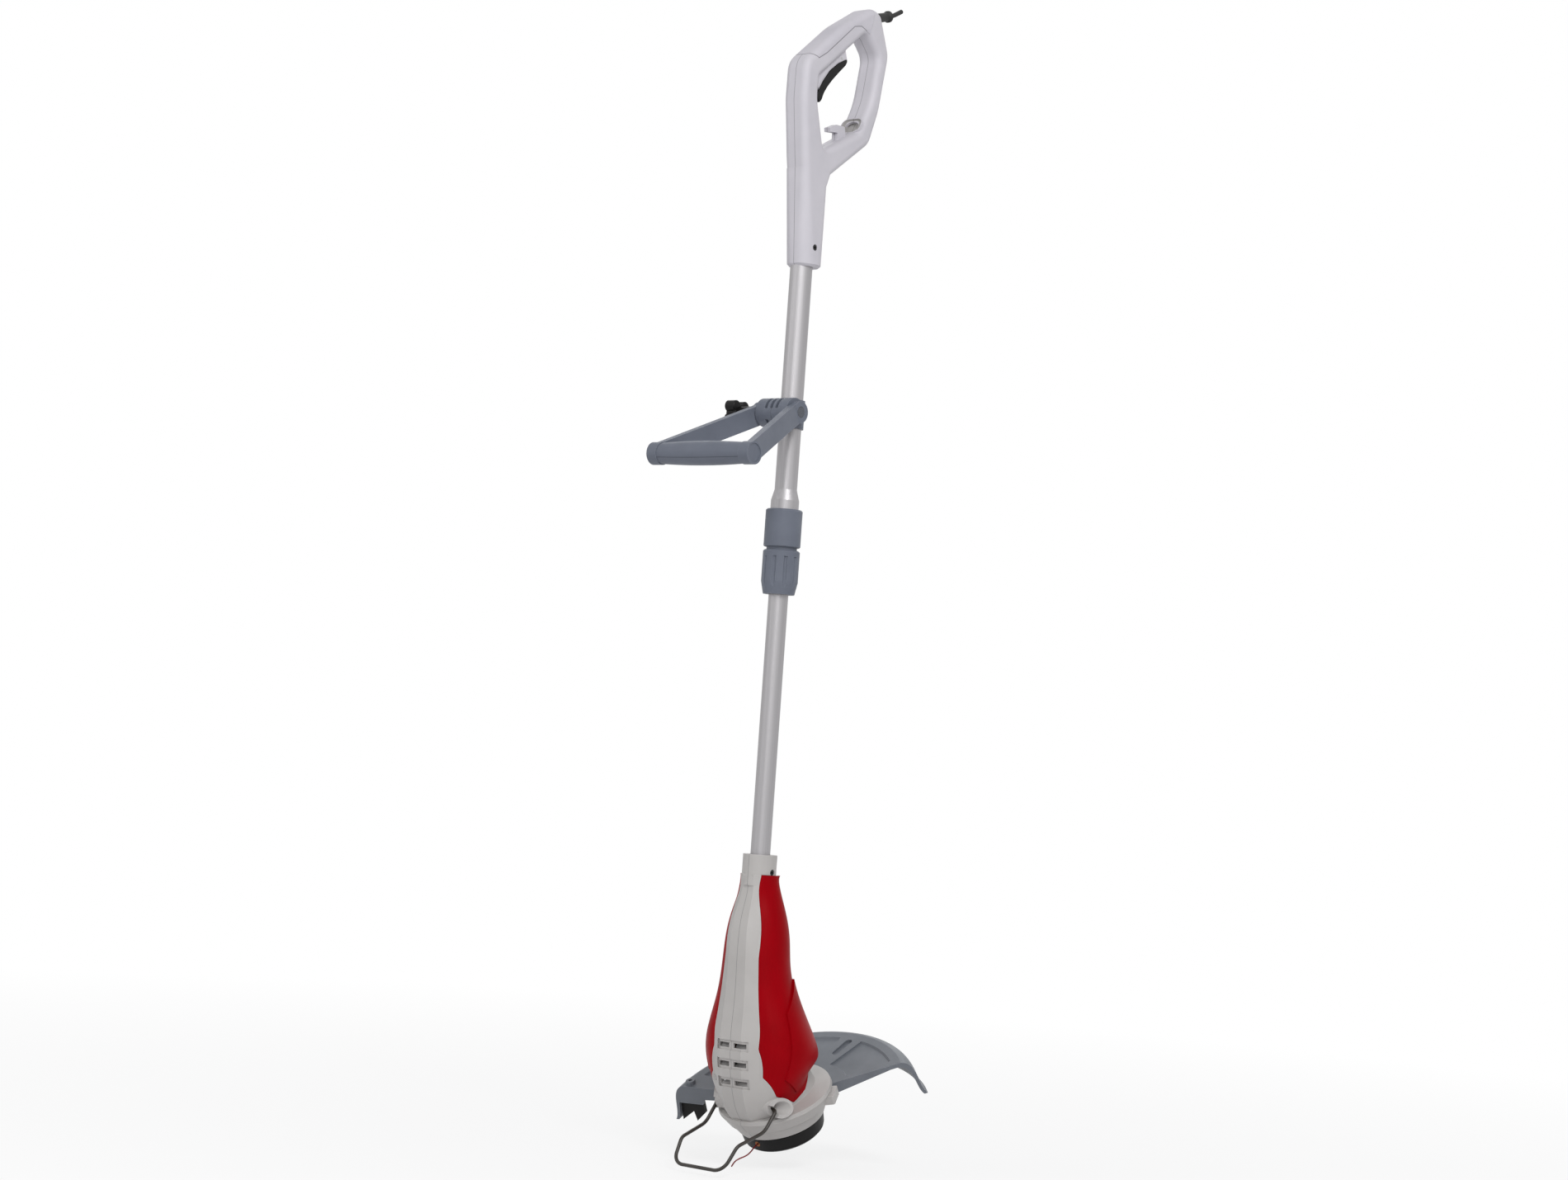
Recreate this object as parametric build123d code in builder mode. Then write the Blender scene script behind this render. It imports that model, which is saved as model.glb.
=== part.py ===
import os
from math import cos, radians, sin, tan

from build123d import *

os.makedirs("parts", exist_ok=True)

# Corded string trimmer, millimetres. +Z runs up the straight tube, -Y is the
# front, and the origin is the middle of the tap button's flat under-face.

# Head and tube placement
head_tilt = 28.0
tube_offset = 80.0
motor_collar_z = 312.0

# Telescopic tubes
upper_tube_od = 25.0
lower_tube_od = 22.0
tube_wall = 1.2
lower_tube_visible = 288.0
upper_tube_visible = 272.0
tube_overlap = 150.0
tube_insertion = 78.0
bush_length = 22.0
bush_fit = 0.1
bush_spigot_fit = 0.05
bush_spigot_length = 18.0
lead_diameter = 6.0
lead_end_z = 168.0

# Telescope clamp
nut_od = 41.0
nut_height = 49.0
nut_gap = 3.5
nut_flutes = 10
nut_flute_width = 5.0
nut_flute_depth = 1.6
nut_cone_height = 14.0
nut_cone_od = 35.0
sleeve_od = 41.0
sleeve_height = 42.0
spigot_od = 34.0
spigot_length = 36.0
flare_od = 31.5
flare_height = 22.0
collet_wall = 1.6
collet_slits = 4
collet_slit_width = 2.0
running_gap = 0.3

# Rear handle
handle_width = 32.0
handle_round = 8.0
handle_wall = 3.0
socket_od = 36.0
socket_setback = 4.0
stem_lean = 2.0
stem_depth = 43.0
socket_chamfer = 2.5
stem_height = 108.0
socket_bolt_height = 21.0
inlay_depth = 1.6
inlay_gap = 0.25
screw_head_od = 6.4
screw_head_height = 2.6
screw_shank_od = 3.4
screw_boss_od = 8.5

# Trigger
trigger_width = 14.0
trigger_side_gap = 0.4
trigger_pin_od = 4.0
trigger_pin_fit = 0.05
trigger_guide_width = 20.0
trigger_spring_r = 3.0
trigger_spring_wire = 0.8
trigger_spring_turns = 4
trigger_spring_s = 16.0
trigger_spring_t = -1.7

# Supply cord
relief_length = 17.0
relief_base_od = 11.0
relief_tip_od = 10.2
relief_collar_od = 13.4
relief_collar_length = 4.5
relief_seat = 10.0
relief_rise = 18.0
cord_od = 5.2
cord_tail = 6.0
cord_stub = 25.0
cord_lift = 11.0
cord_bend_r = 60.0
cord_bend_at = 7.0

# Assist handle
assist_height = 200.5
assist_pivot_forward = 20.0
assist_droop = 25.8
assist_reach = 138.0
assist_width = 142.0
barrel_od = 32.0
barrel_length = 44.0
barrel_slots = 3
barrel_slot_width = 4.0
barrel_slot_pitch = 7.5
barrel_slot_depth = 4.5
barrel_band = 12.0
clamp_ring_od = 29.5
clamp_ring_height = 32.0
clamp_split = 0.6
arm_thickness = 8.0
arm_height = 22.0
arm_gap = 0.3
arm_recess = 4.3
knuckle_od = 25.0
knuckle_length = 13.0
knuckle_rim = 2.0
knuckle_recess = 1.2
grip_od = 23.0
grip_belly = 1.8
assist_bolt_od = 6.0
assist_bolt_head_od = 12.0
assist_bolt_head_height = 4.0
knob_od = 34.0
knob_thickness = 14.0
knob_lobes = 4
knob_lobe_od = 13.0
knob_stem_od = 15.0
knob_stem_length = 25.0
knob_edge = 1.2
knob_cover = 4.0

# Motor housing
housing_wall = 2.6
cover_skin = 2.0
cover_gap = 0.35
bulge_rise = 2.2
collar_od = 38.0
collar_height = 34.0
collar_bolt_drop = 19.0
vent_width = 16.0
vent_height = 5.2
vent_pitch = 20.5
vent_top_z = 103.0
vent_rows = 3
vent_rib = 6.0
vent_frame = 3.0

housing_reach = 95.0
cover_root_x = 10.0
vent_reach = 60.0
housing_screw_seat = 14.0
housing_screw_tip = 16.0
bolt_sink = 3.4

# Head base, measured along the head axis from the tap face
flange_r = 65.0
flange_top_h = 55.0
flange_bottom_h = 38.0
flange_bottom_r = 58.5
flange_floor = 3.0
flange_edge = 4.0
skirt_top_r = 56.0
skirt_bottom_r = 49.8
skirt_bottom_h = 24.0
lug_width = 24.0
lug_reach = 8.0
lug_angle = 24.0
lug_bottom_h = 39.0
lug_height = 10.0
socket_trumpet_y = -73.0
socket_trumpet_z = 36.0
trumpet_front_x = 38.5
trumpet_rear_x = 56.0
trumpet_mouth_r = 12.0
trumpet_root_x = 12.0
trumpet_root_r = 7.5
trumpet_wall = 1.6
trumpet_flare_x = 31.0
trumpet_lift = 3.0

# Plant guard wire
wire_od = 4.0
wire_fit = 0.1
wire_pin_length = 16.0
wire_leg_x = 42.0
wire_bend_r = 5.0
wire_end_gap = 0.5
wire_way_low = -60.0
wire_way_high = 16.0
wire_way_gap = 0.4

# Debris guard
guard_shift = 6.5
guard_back = 5.0
guard_inner_h = 47.0
guard_r = 136.0
guard_top_h = 50.5
guard_lip_r = 157.5
guard_lip_h = 5.5
guard_plate = 5.0
guard_skirt_wall = 4.0
guard_start = 43.0
guard_end = 186.5
guard_pan_inner_r = 76.0
guard_pan_outer_r = 124.0
guard_pan_depth = 2.2
guard_slot_inner_r = 92.0
guard_slot_width = 9.0
guard_edge_wall = 4.0
guard_boss_od = 11.0
guard_boss_height = 4.0
guard_boss_hole = 4.6
guard_boss_r = 129.0
guard_boss_angle = 183.0
guard_hub_r = 40.0
guard_shoulder = 8.5
guard_shoulder_drop = 5.0
guard_skirt_bow = 2.0
guard_screw_h = 41.0
guard_screw_angle = 65.0
guard_screw_tip_r = 53.0
guard_pad_height = 8.0
guard_pad_width = 12.0
guard_pad_reach = 7.0
guard_groove = 12.0

# Line cutter
cutter_thickness = 1.6
cutter_holder_thickness = 5.0
cutter_screw_od = 4.0
cutter_screw_head = 2.2
cutter_screw_sink = 3.0

# Cutting head
shaft_od = 8.0
shaft_top_h = 162.0
bearing_od = 22.0
bearing_width = 7.0
bearing_fit = 0.05
lower_bearing_h = 43.0
upper_bearing_h = 150.0
fan_h = 58.0
fan_height = 9.0
fan_r = 34.0
fan_blades = 12
stator_h = 74.0
stator_length = 46.0
stator_r = 31.8
stator_bore_r = 21.5
armature_r = 20.5
armature_slots = 12
commutator_h = 128.0
commutator_length = 14.0
commutator_r = 11.5
brush_section = 6.0
brush_length = 14.0
brush_gap = 0.3
carrier_top_r = 48.0
carrier_bottom_r = 46.0
carrier_top_h = 23.2
carrier_bottom_h = 9.0
carrier_wall = 2.6
carrier_floor = 3.0
carrier_hub_gap = 4.0
cap_r = 45.0
cap_rim_r = 42.0
cap_bottom_h = 4.0
cap_floor = 2.4
cap_tab_width = 24.0
cap_tab_depth = 1.2
tap_r = 16.0
tap_face_r = 9.0
tap_gap = 0.4
spool_r = 37.0
spool_hub_r = 13.5
spool_flange = 1.5
spool_bottom_h = 8.0
spool_height = 7.5
line_fill_r = 33.0
tap_spring_wire = 1.2
tap_spring_r = 9.5
tap_spring_turns = 3
eyelet_od = 6.5
eyelet_bore = 2.4
line_od = 1.6

# Places worked out from the sizes above
nut_z = motor_collar_z + lower_tube_visible
spigot_top_z = nut_z + nut_height + nut_gap
sleeve_top_z = spigot_top_z + sleeve_height
socket_z = sleeve_top_z + upper_tube_visible
assist_z = nut_z + assist_height
lower_tube_top_z = nut_z + tube_overlap
upper_tube_id = upper_tube_od - 2 * tube_wall
lower_tube_id = lower_tube_od - 2 * tube_wall
tube_top_z = socket_z + tube_insertion
lower_tube_bottom_z = motor_collar_z - collar_height - 20.0

# Working planes: side views looking along +X, and the tilted head
side = Plane(origin=(0, -tube_offset, 0), x_dir=(0, 1, 0), z_dir=(1, 0, 0))
handle_side = Plane(origin=(0, -tube_offset, socket_z), x_dir=(0, 1, 0), z_dir=(1, 0, 0))
head_up = Vector(0, -sin(radians(head_tilt)), cos(radians(head_tilt)))
head_rear = Vector(0, cos(radians(head_tilt)), sin(radians(head_tilt)))
head = Plane(origin=(0, 0, 0), x_dir=(1, 0, 0), z_dir=head_up)
head_section = Plane(origin=(0, 0, 0), x_dir=(1, 0, 0), z_dir=-head_rear)
head_axis = Axis((0, 0, 0), head_up)
tube_axis = Axis((0, -tube_offset, 0), (0, 0, 1))
tube_section = Plane(origin=(0, -tube_offset, 0), x_dir=(1, 0, 0), z_dir=(0, -1, 0))


def save(part, name):
    part.label = name
    export_step(part, f"parts/{name}.step")


def across(y, z, x=0.0):
    """A plane square to X at a point given from the tube axis, for pieces that lie along X."""
    return Plane(origin=(x, y - tube_offset, z), x_dir=(0, 1, 0), z_dir=(1, 0, 0))


def head_plane(h, angle=0.0):
    """A plane square to the head axis at height h, turned about that axis."""
    out = head.x_dir * cos(radians(angle)) + head_rear * sin(radians(angle))
    return Plane(origin=head_up * h, x_dir=out, z_dir=head_up)


def head_radial(angle):
    """A plane through the head axis: x outwards at the angle, y up the axis."""
    out = head.x_dir * cos(radians(angle)) + head_rear * sin(radians(angle))
    return Plane(origin=(0, 0, 0), x_dir=out, z_dir=out.cross(head_up))


def coil_spring(foot, along, height, radius, wire, turns):
    """A compression spring of six-sided wire that stands on a point."""
    with BuildPart() as spring:
        with BuildLine():
            coil = Helix(height / turns, height, radius, center=foot, direction=along)
        with BuildSketch(Plane(origin=coil @ 0, z_dir=coil % 0)):
            RegularPolygon(wire / 2, 6)
        sweep(path=coil)
    return spring.part


def turned_ring(points, axis, plane, arc=360):
    """A solid of revolution from a closed outline of radius and height."""
    with BuildPart() as ring:
        with BuildSketch(plane):
            with BuildLine():
                Polyline(*points, close=True)
            make_face()
        revolve(axis=axis, revolution_arc=arc)
    return ring.part


# Rear handle outlines from the tube axis and the socket's lower end: y, z, corner radius
grip_outline = [
    (-19.0, 88.0, 0.5),
    (-25.0, 120.0, 90.0),
    (-34.0, 184.0, 60.0),
    (-33.5, 227.0, 24.0),
    (27.0, 278.0, 120.0),
    (83.0, 313.0, 20.0),
    (97.0, 304.0, 12.0),
    (115.5, 262.0, 26.0),
    (104.0, 195.0, 80.0),
    (90.0, 155.0, 24.0),
    (25.0, 107.0, 6.0),
    (18.0, 88.0, 0.5),
]
finger_outline = [
    (8.0, 133.0, 5.0),
    (-8.0, 186.0, 60.0),
    (-8.0, 213.0, 6.0),
    (72.0, 280.0, 10.0),
    (96.0, 257.0, 15.0),
    (87.0, 204.0, 90.0),
    (68.0, 165.0, 14.0),
    (34.0, 146.5, 20.0),
]
handle_screw_places = [(-10.0, 118.0), (-22.0, 208.0), (96.0, 284.0), (86.0, 172.0), (32.0, 127.0)]
hook_outline = [(43, 142), (43, 160), (29, 158.5), (28, 163), (40, 168.5), (55, 169), (60, 150)]
inlay_outline = [(-26, 236), (-14, 232), (0, 241), (46, 281), (58, 284), (76, 279), (86, 330), (-30, 300)]
cord_eye = (76.0, 170.0)
cord_eye_width = 20.0
cord_eye_height = 16.0
cord_eye_turn = 155.0

# The underside of the grip: s runs back along it and t stands square to it
grip_slope = 39.9
grip_corner = (-8.0, 214.0)
guide_outline = [(-6, 2), (-6, -15), (58, -11), (62, 2)]
slot_outline = [(-20, -30), (57.5, -30), (57.5, 4.5), (-20, 4.5)]
trigger_pivot = (50.0, -5.0)
switch_start = 10.0
switch_length = 32.0
switch_floor = 9.0
switch_height = 12.0
switch_width = handle_width - 2 * handle_wall

grip_along = Vector(0, cos(radians(grip_slope)), sin(radians(grip_slope)))
grip_local = Plane(
    origin=(0, grip_corner[0] - tube_offset, grip_corner[1] + socket_z),
    x_dir=grip_along,
    z_dir=(1, 0, 0),
)


def loop_sketch(outline):
    points = [(y, z) for y, z, _ in outline]
    with BuildSketch() as shape:
        with BuildLine():
            FilletPolyline(*points, radius=[r for _, _, r in outline], close=True)
        make_face()
    return shape.sketch


def handle_block(inset, rounded):
    """The grip loop as one solid, drawn in by a wall or a skin."""
    grip = loop_sketch(grip_outline)
    finger = loop_sketch(finger_outline)
    if inset:
        grip = offset(grip, amount=-inset)
        finger = offset(finger, amount=inset)
    with BuildPart() as block:
        with BuildSketch(handle_side):
            add(grip)
            add(finger, mode=Mode.SUBTRACT)
        extrude(amount=handle_width / 2 - inset, both=True)
        if rounded:
            fillet(block.faces().filter_by(Axis.X).edges(), radius=rounded)
    return block.part


def handle_stem():
    with BuildPart() as stem:
        with BuildSketch(Plane(origin=(0, socket_setback - tube_offset, socket_z))):
            RectangleRounded(socket_od, socket_od, socket_od / 2 - 2)
        with BuildSketch(Plane(origin=(0, -stem_lean - tube_offset, socket_z + stem_height))):
            RectangleRounded(handle_width, stem_depth, handle_round)
        loft()
        chamfer(stem.edges().group_by(Axis.Z)[0], length=socket_chamfer)
    return stem.part


def side_prism(plane, outline, half_width, grow=0.0):
    with BuildPart() as prism:
        with BuildSketch(plane):
            Polygon(*outline, align=None)
            if grow:
                offset(amount=grow)
        extrude(amount=half_width, both=True)
    return prism.part


def rod(plane, diameter, start, end):
    """A round bar along a plane's normal, between two distances from it."""
    with BuildPart() as bar:
        with BuildSketch(plane.offset(start)):
            Circle(diameter / 2)
        extrude(amount=end - start)
    return bar.part


def fused(pieces, cuts=(), keep=None):
    """Join a list of solids, keep what lies in another one, and cut the rest away."""
    with BuildPart() as joined:
        add(pieces, clean=False)
        if keep is not None:
            add(keep, clean=False, mode=Mode.INTERSECT)
        if cuts:
            add(cuts, clean=False, mode=Mode.SUBTRACT)
    return joined.part


def largest(part):
    return max(part.solids(), key=lambda solid: solid.volume)


def halves(part):
    """The two sides of a moulding that parts along its middle plane."""
    with BuildPart() as right:
        add(part)
        split(bisect_by=Plane.YZ, keep=Keep.TOP)
    with BuildPart() as left:
        add(part)
        split(bisect_by=Plane.YZ, keep=Keep.BOTTOM)
    return left.part, right.part


def screw_group(places, head_od, head_height, shank_od, seat, tip):
    """Pan-head screws along X whose heads bear on the seat, on the -X side."""
    screws = []
    for plane in places:
        screws.append(fused([rod(plane, head_od, seat - head_height, seat), rod(plane, shank_od, seat, tip)]))
    return Compound(children=screws)


tube_foot = Plane(origin=(0, -tube_offset, 0))
pivot_at = grip_local.from_local_coords(Vector(trigger_pivot[0], trigger_pivot[1], 0))
trigger_axis_plane = Plane(origin=pivot_at, x_dir=(0, 1, 0), z_dir=(1, 0, 0))
screw_seat = -handle_width / 2 + 5.0
screw_tip = handle_width / 2 - 7.0
handle_screw_planes = [across(y, z + socket_z) for y, z in handle_screw_places]
relief_place = (98.0, 303.0)
relief_dir = Vector(0, cos(radians(relief_rise)), sin(radians(relief_rise)))
cord_dir = Vector(0, cos(radians(relief_rise + cord_lift)), sin(radians(relief_rise + cord_lift)))
relief_at = across(relief_place[0], relief_place[1] + socket_z).origin
relief_plane = Plane(origin=relief_at, x_dir=(1, 0, 0), z_dir=relief_dir)
relief_section = Plane(origin=relief_at, x_dir=(1, 0, 0), z_dir=Vector(1, 0, 0).cross(relief_dir))
relief_end = relief_seat + relief_length + relief_collar_length


def rear_handle():
    outer = handle_block(0.0, handle_round) + handle_stem()
    skin = handle_block(inlay_depth, handle_round - inlay_depth)
    hollow = handle_block(handle_wall, 0.0)
    slot_half = trigger_width / 2 + trigger_side_gap

    zone = side_prism(handle_side, inlay_outline, handle_width)
    save(fused([outer], [skin], zone), "grip_inlay")

    eye_dir = (0, cos(radians(cord_eye_turn)), sin(radians(cord_eye_turn)))
    eye_at = across(cord_eye[0], cord_eye[1] + socket_z).origin
    with BuildPart() as eye:
        with BuildSketch(Plane(origin=eye_at, x_dir=(1, 0, 0), z_dir=eye_dir)):
            Ellipse(cord_eye_width / 2, cord_eye_height / 2)
        extrude(amount=16.0, both=True)

    bosses = [rod(p, screw_boss_od, screw_seat - 2, -screw_seat + 2) for p in handle_screw_planes]
    heads = [rod(p, screw_head_od + 0.6, -handle_width, screw_seat) for p in handle_screw_planes]
    shanks = [rod(p, screw_shank_od, screw_seat - 1, screw_tip) for p in handle_screw_planes]
    bolt_plane = across(0, socket_z + socket_bolt_height)
    cuts = [
        fused([side_prism(handle_side, inlay_outline, handle_width, inlay_gap)], [skin]),
        side_prism(grip_local, slot_outline, slot_half),
        rod(trigger_axis_plane, trigger_pin_od, -handle_width, handle_width),
        rod(tube_foot, upper_tube_od, socket_z - 1, tube_top_z),
        rod(tube_foot, lead_diameter + 1, socket_z, socket_z + 125),
        rod(relief_plane, relief_base_od, -relief_seat, relief_length),
        rod(bolt_plane, screw_head_od + 1.0, socket_od / 2 - bolt_sink, handle_width),
        rod(bolt_plane, screw_shank_od, 0, handle_width),
        eye.part,
    ]
    hooked = [
        fused([outer], [hollow]),
        side_prism(handle_side, hook_outline, 4.0),
        fused([side_prism(grip_local, guide_outline, trigger_guide_width / 2)], [hollow]),
    ]
    shell = largest(fused(hooked + bosses, cuts + heads + shanks))
    left, right = halves(shell)
    save(left, "handle_left_shell")
    save(right, "handle_right_shell")
    screws = screw_group(handle_screw_planes, screw_head_od, screw_head_height, screw_shank_od,
                         screw_seat, screw_tip)
    save(screws, "handle_screws")
    return shell


def handle_inside():
    """Trigger, its pin and spring, the switch and the supply cord with its strain relief."""
    half = trigger_width / 2
    with BuildPart() as trigger:
        with BuildSketch(grip_local):
            with BuildLine():
                ThreePointArc((-15, -26), (8, -19.5), (36, -17))
                Polyline((36, -17), (54, -16.5), (57, -9), (54, -1), (2, -2), (-13, -15), (-15, -26))
            make_face()
        extrude(amount=half, both=True)
        with BuildSketch(trigger_axis_plane):
            Circle(trigger_pin_od / 2 + trigger_pin_fit)
        extrude(amount=half, both=True, mode=Mode.SUBTRACT)
        fillet(trigger.edges().filter_by(Axis.X).group_by(Axis.Z)[0], radius=2.0)
    save(trigger.part, "trigger")
    save(rod(trigger_axis_plane, trigger_pin_od, -trigger_guide_width / 2, trigger_guide_width / 2),
         "trigger_pin")

    switch_end = switch_start + switch_length
    with BuildPart() as switch:
        with BuildSketch(grip_local):
            Polygon((switch_start, switch_floor), (switch_end, switch_floor),
                    (switch_end, switch_floor + switch_height), (switch_start, switch_floor + switch_height),
                    align=None)
        extrude(amount=switch_width / 2, both=True)
        chamfer(switch.edges().filter_by(Axis.X), length=1.0)
    save(switch.part, "switch_block")

    spring_foot = trigger_spring_t + trigger_spring_wire / 2
    spring_height = switch_floor - spring_foot - trigger_spring_wire / 2
    spring_at = grip_local.from_local_coords(Vector(trigger_spring_s, spring_foot, 0))
    save(coil_spring(spring_at, grip_local.y_dir, spring_height, trigger_spring_r, trigger_spring_wire,
                     trigger_spring_turns), "trigger_spring")
    print("trigger spring gap", round(spring_height / trigger_spring_turns - trigger_spring_wire, 2))

    collar_start = relief_seat + relief_length
    save(turned_ring([
        (cord_od / 2, -relief_seat), (relief_base_od / 2, -relief_seat), (relief_base_od / 2, relief_seat),
        (relief_tip_od / 2, collar_start - 1), (relief_collar_od / 2, collar_start + 1),
        (relief_collar_od / 2, relief_end - 1), (relief_tip_od / 2, relief_end), (cord_od / 2, relief_end),
    ], Axis(relief_at, relief_dir), relief_section), "strain_relief")

    bend_at = relief_at + relief_dir * (relief_end + cord_bend_at)
    route_points = [relief_at - relief_dir * (relief_seat + cord_tail), bend_at,
                    bend_at + cord_dir * (cord_stub - cord_bend_at)]
    with BuildPart() as cord:
        with BuildLine() as route:
            FilletPolyline(*route_points, radius=cord_bend_r)
        with BuildSketch(Plane(origin=route_points[0], z_dir=relief_dir)):
            Circle(cord_od / 2)
        sweep(path=route.wires()[0])
    save(cord.part, "supply_cord")
    print("supply cord length", round(route.wires()[0].length, 1), "bend radius", cord_bend_r)


def pinch_screw(name, z, shell_od, tube_od):
    """A hex-socket screw from the +X side whose tip bears on the tube."""
    plane = across(0, z)
    seat = shell_od / 2 - bolt_sink
    body = fused([
        rod(plane, screw_head_od, seat, seat + screw_head_height),
        rod(plane, screw_shank_od, tube_od / 2, seat),
    ])
    with BuildPart() as screw:
        add(body)
        with BuildSketch(plane.offset(seat + screw_head_height)):
            RegularPolygon(screw_head_od / 4, 6)
        extrude(amount=-screw_head_height / 2, mode=Mode.SUBTRACT)
    save(screw.part, name)


def tube_pieces():
    foot = tube_section
    upper_r = upper_tube_od / 2
    flare_r = flare_od / 2
    seat_z = spigot_top_z + 4.0
    flare_z = sleeve_top_z + flare_height
    profile = [
        (flare_r, seat_z), (flare_r, flare_z - 12), (upper_r, flare_z), (upper_r, tube_top_z),
        (upper_r - tube_wall, tube_top_z), (upper_r - tube_wall, flare_z),
        (flare_r - tube_wall, flare_z - 12), (flare_r - tube_wall, seat_z),
    ]
    save(turned_ring(profile, tube_axis, foot), "upper_tube")

    spigot_z = spigot_top_z - spigot_length
    collet_r = lower_tube_od / 2 + running_gap + collet_wall
    sleeve_r = sleeve_od / 2
    profile = [
        (collet_r + 0.1, spigot_z), (spigot_od / 2, spigot_z), (spigot_od / 2, spigot_top_z),
        (sleeve_r - 1, spigot_top_z), (sleeve_r, spigot_top_z + 1), (sleeve_r, sleeve_top_z - 1.5),
        (sleeve_r - 1.5, sleeve_top_z), (flare_r, sleeve_top_z), (flare_r, seat_z), (collet_r + 0.1, seat_z),
    ]
    save(turned_ring(profile, tube_axis, foot), "clamp_sleeve")

    collet_in = lower_tube_od / 2 + running_gap
    collet_z = nut_z + 5.0
    with BuildPart() as collet:
        add(turned_ring([(collet_in, collet_z), (collet_r - 0.6, collet_z), (collet_r, collet_z + 3),
                         (collet_r, seat_z), (collet_in, seat_z)], tube_axis, foot))
        with BuildSketch(Plane(origin=(0, -tube_offset, collet_z))):
            with PolarLocations(collet_r, collet_slits):
                Rectangle(4 * collet_wall, collet_slit_width)
        extrude(amount=spigot_z - collet_z + 10, mode=Mode.SUBTRACT)
    save(collet.part, "collet")

    nut_r = nut_od / 2
    bore_r = spigot_od / 2 + running_gap
    nut_top = nut_z + nut_height
    lip_r = lower_tube_od / 2 + 2 * running_gap
    with BuildPart() as nut:
        add(turned_ring([
            (lip_r, nut_z), (nut_cone_od / 2, nut_z), (nut_r, nut_z + nut_cone_height),
            (nut_r, nut_top - 1.5), (nut_r - 1.5, nut_top), (bore_r, nut_top), (bore_r, spigot_z - 2),
            (collet_r + 2 * running_gap, spigot_z - 4),
            (collet_r + 2 * running_gap, nut_z + 4), (lip_r, nut_z + 4),
        ], tube_axis, foot))
        with BuildSketch(Plane(origin=(0, -tube_offset, nut_z - 1))):
            with PolarLocations(nut_r + nut_flute_width / 2 - nut_flute_depth, nut_flutes):
                Circle(nut_flute_width / 2)
        extrude(amount=nut_height - 6, mode=Mode.SUBTRACT)
    save(nut.part, "clamp_nut")

    save(turned_ring([
        (lower_tube_id / 2, lower_tube_bottom_z), (lower_tube_od / 2, lower_tube_bottom_z),
        (lower_tube_od / 2, lower_tube_top_z), (lower_tube_id / 2, lower_tube_top_z),
    ], tube_axis, foot), "lower_tube")

    bush_r = upper_tube_id / 2 - bush_fit
    bush_spigot_r = lower_tube_id / 2 - bush_spigot_fit
    bush_top = lower_tube_top_z + bush_length
    bush_seat = lower_tube_top_z + 0.1
    bore = lead_diameter / 2 + 1.0
    save(turned_ring([
        (bore, bush_seat - bush_spigot_length), (bush_spigot_r, bush_seat - bush_spigot_length),
        (bush_spigot_r, bush_seat), (bush_r, bush_seat), (bush_r, bush_top - 1), (bush_r - 1, bush_top),
        (bore, bush_top),
    ], tube_axis, foot), "guide_bush")

    save(rod(tube_foot, lead_diameter, lead_end_z, lower_tube_top_z - 4), "motor_lead")
    save(rod(tube_foot, lead_diameter, lower_tube_top_z - 4, socket_z + 124.0), "handle_lead")

    pinch_screw("socket_bolt", socket_z + socket_bolt_height, socket_od, upper_tube_od)
    pinch_screw("collar_bolt", motor_collar_z - collar_bolt_drop, collar_od, lower_tube_od)


droop_dir = Vector(0, -cos(radians(assist_droop)), -sin(radians(assist_droop)))
assist_origin = Vector(0, -tube_offset - assist_pivot_forward, assist_z)
assist_plan = Plane(origin=assist_origin, x_dir=(1, 0, 0), z_dir=Vector(1, 0, 0).cross(droop_dir))
assist_cross = Plane(origin=assist_origin, x_dir=(0, 1, 0), z_dir=(1, 0, 0))
grip_cross = Plane(origin=assist_origin + droop_dir * assist_reach, x_dir=droop_dir, z_dir=(1, 0, 0))


def assist_clamp():
    ring_z = assist_z - clamp_ring_height / 2
    slots = []
    first = -(barrel_slots - 1) / 2 * barrel_slot_pitch
    for number in range(barrel_slots):
        x = first + number * barrel_slot_pitch
        groove = turned_ring(
            [(x - barrel_slot_width / 2, barrel_od / 2 - barrel_slot_depth),
             (x - barrel_slot_width / 2, barrel_od),
             (x + barrel_slot_width / 2, barrel_od),
             (x + barrel_slot_width / 2, barrel_od / 2 - barrel_slot_depth)],
            Axis(assist_origin, (1, 0, 0)),
            Plane(origin=assist_origin, x_dir=(1, 0, 0), z_dir=(0, -1, 0)),
        )
        slots.append(groove)
    with BuildPart() as band:
        with BuildSketch(assist_cross):
            with Locations((-barrel_od / 2, -3.0)):
                Rectangle(barrel_od, barrel_band)
            with Locations((assist_pivot_forward, 0)):
                Rectangle(2 * assist_pivot_forward + 8.0, 3 * barrel_od)
        extrude(amount=barrel_length, both=True)
    grooves = fused(slots, [band.part])
    with BuildPart() as neck:
        with BuildSketch(assist_cross):
            with Locations((assist_pivot_forward / 2, 0)):
                Rectangle(assist_pivot_forward, clamp_ring_height)
        extrude(amount=clamp_ring_od / 2, both=True)
    bolt_hole = rod(assist_cross, assist_bolt_od, -barrel_length, barrel_length)
    seam = rod(assist_cross, 6 * barrel_od, -clamp_split / 2, clamp_split / 2)
    body = fused(
        [rod(tube_foot, clamp_ring_od, ring_z, ring_z + clamp_ring_height), neck.part,
         rod(assist_cross, barrel_od, -barrel_length / 2, barrel_length / 2)],
        [rod(tube_foot, upper_tube_od, ring_z - 1, ring_z + clamp_ring_height + 1), bolt_hole, seam, grooves],
    )
    left, right = halves(body)
    save(left, "assist_clamp_left")
    save(right, "assist_clamp_right")


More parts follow.
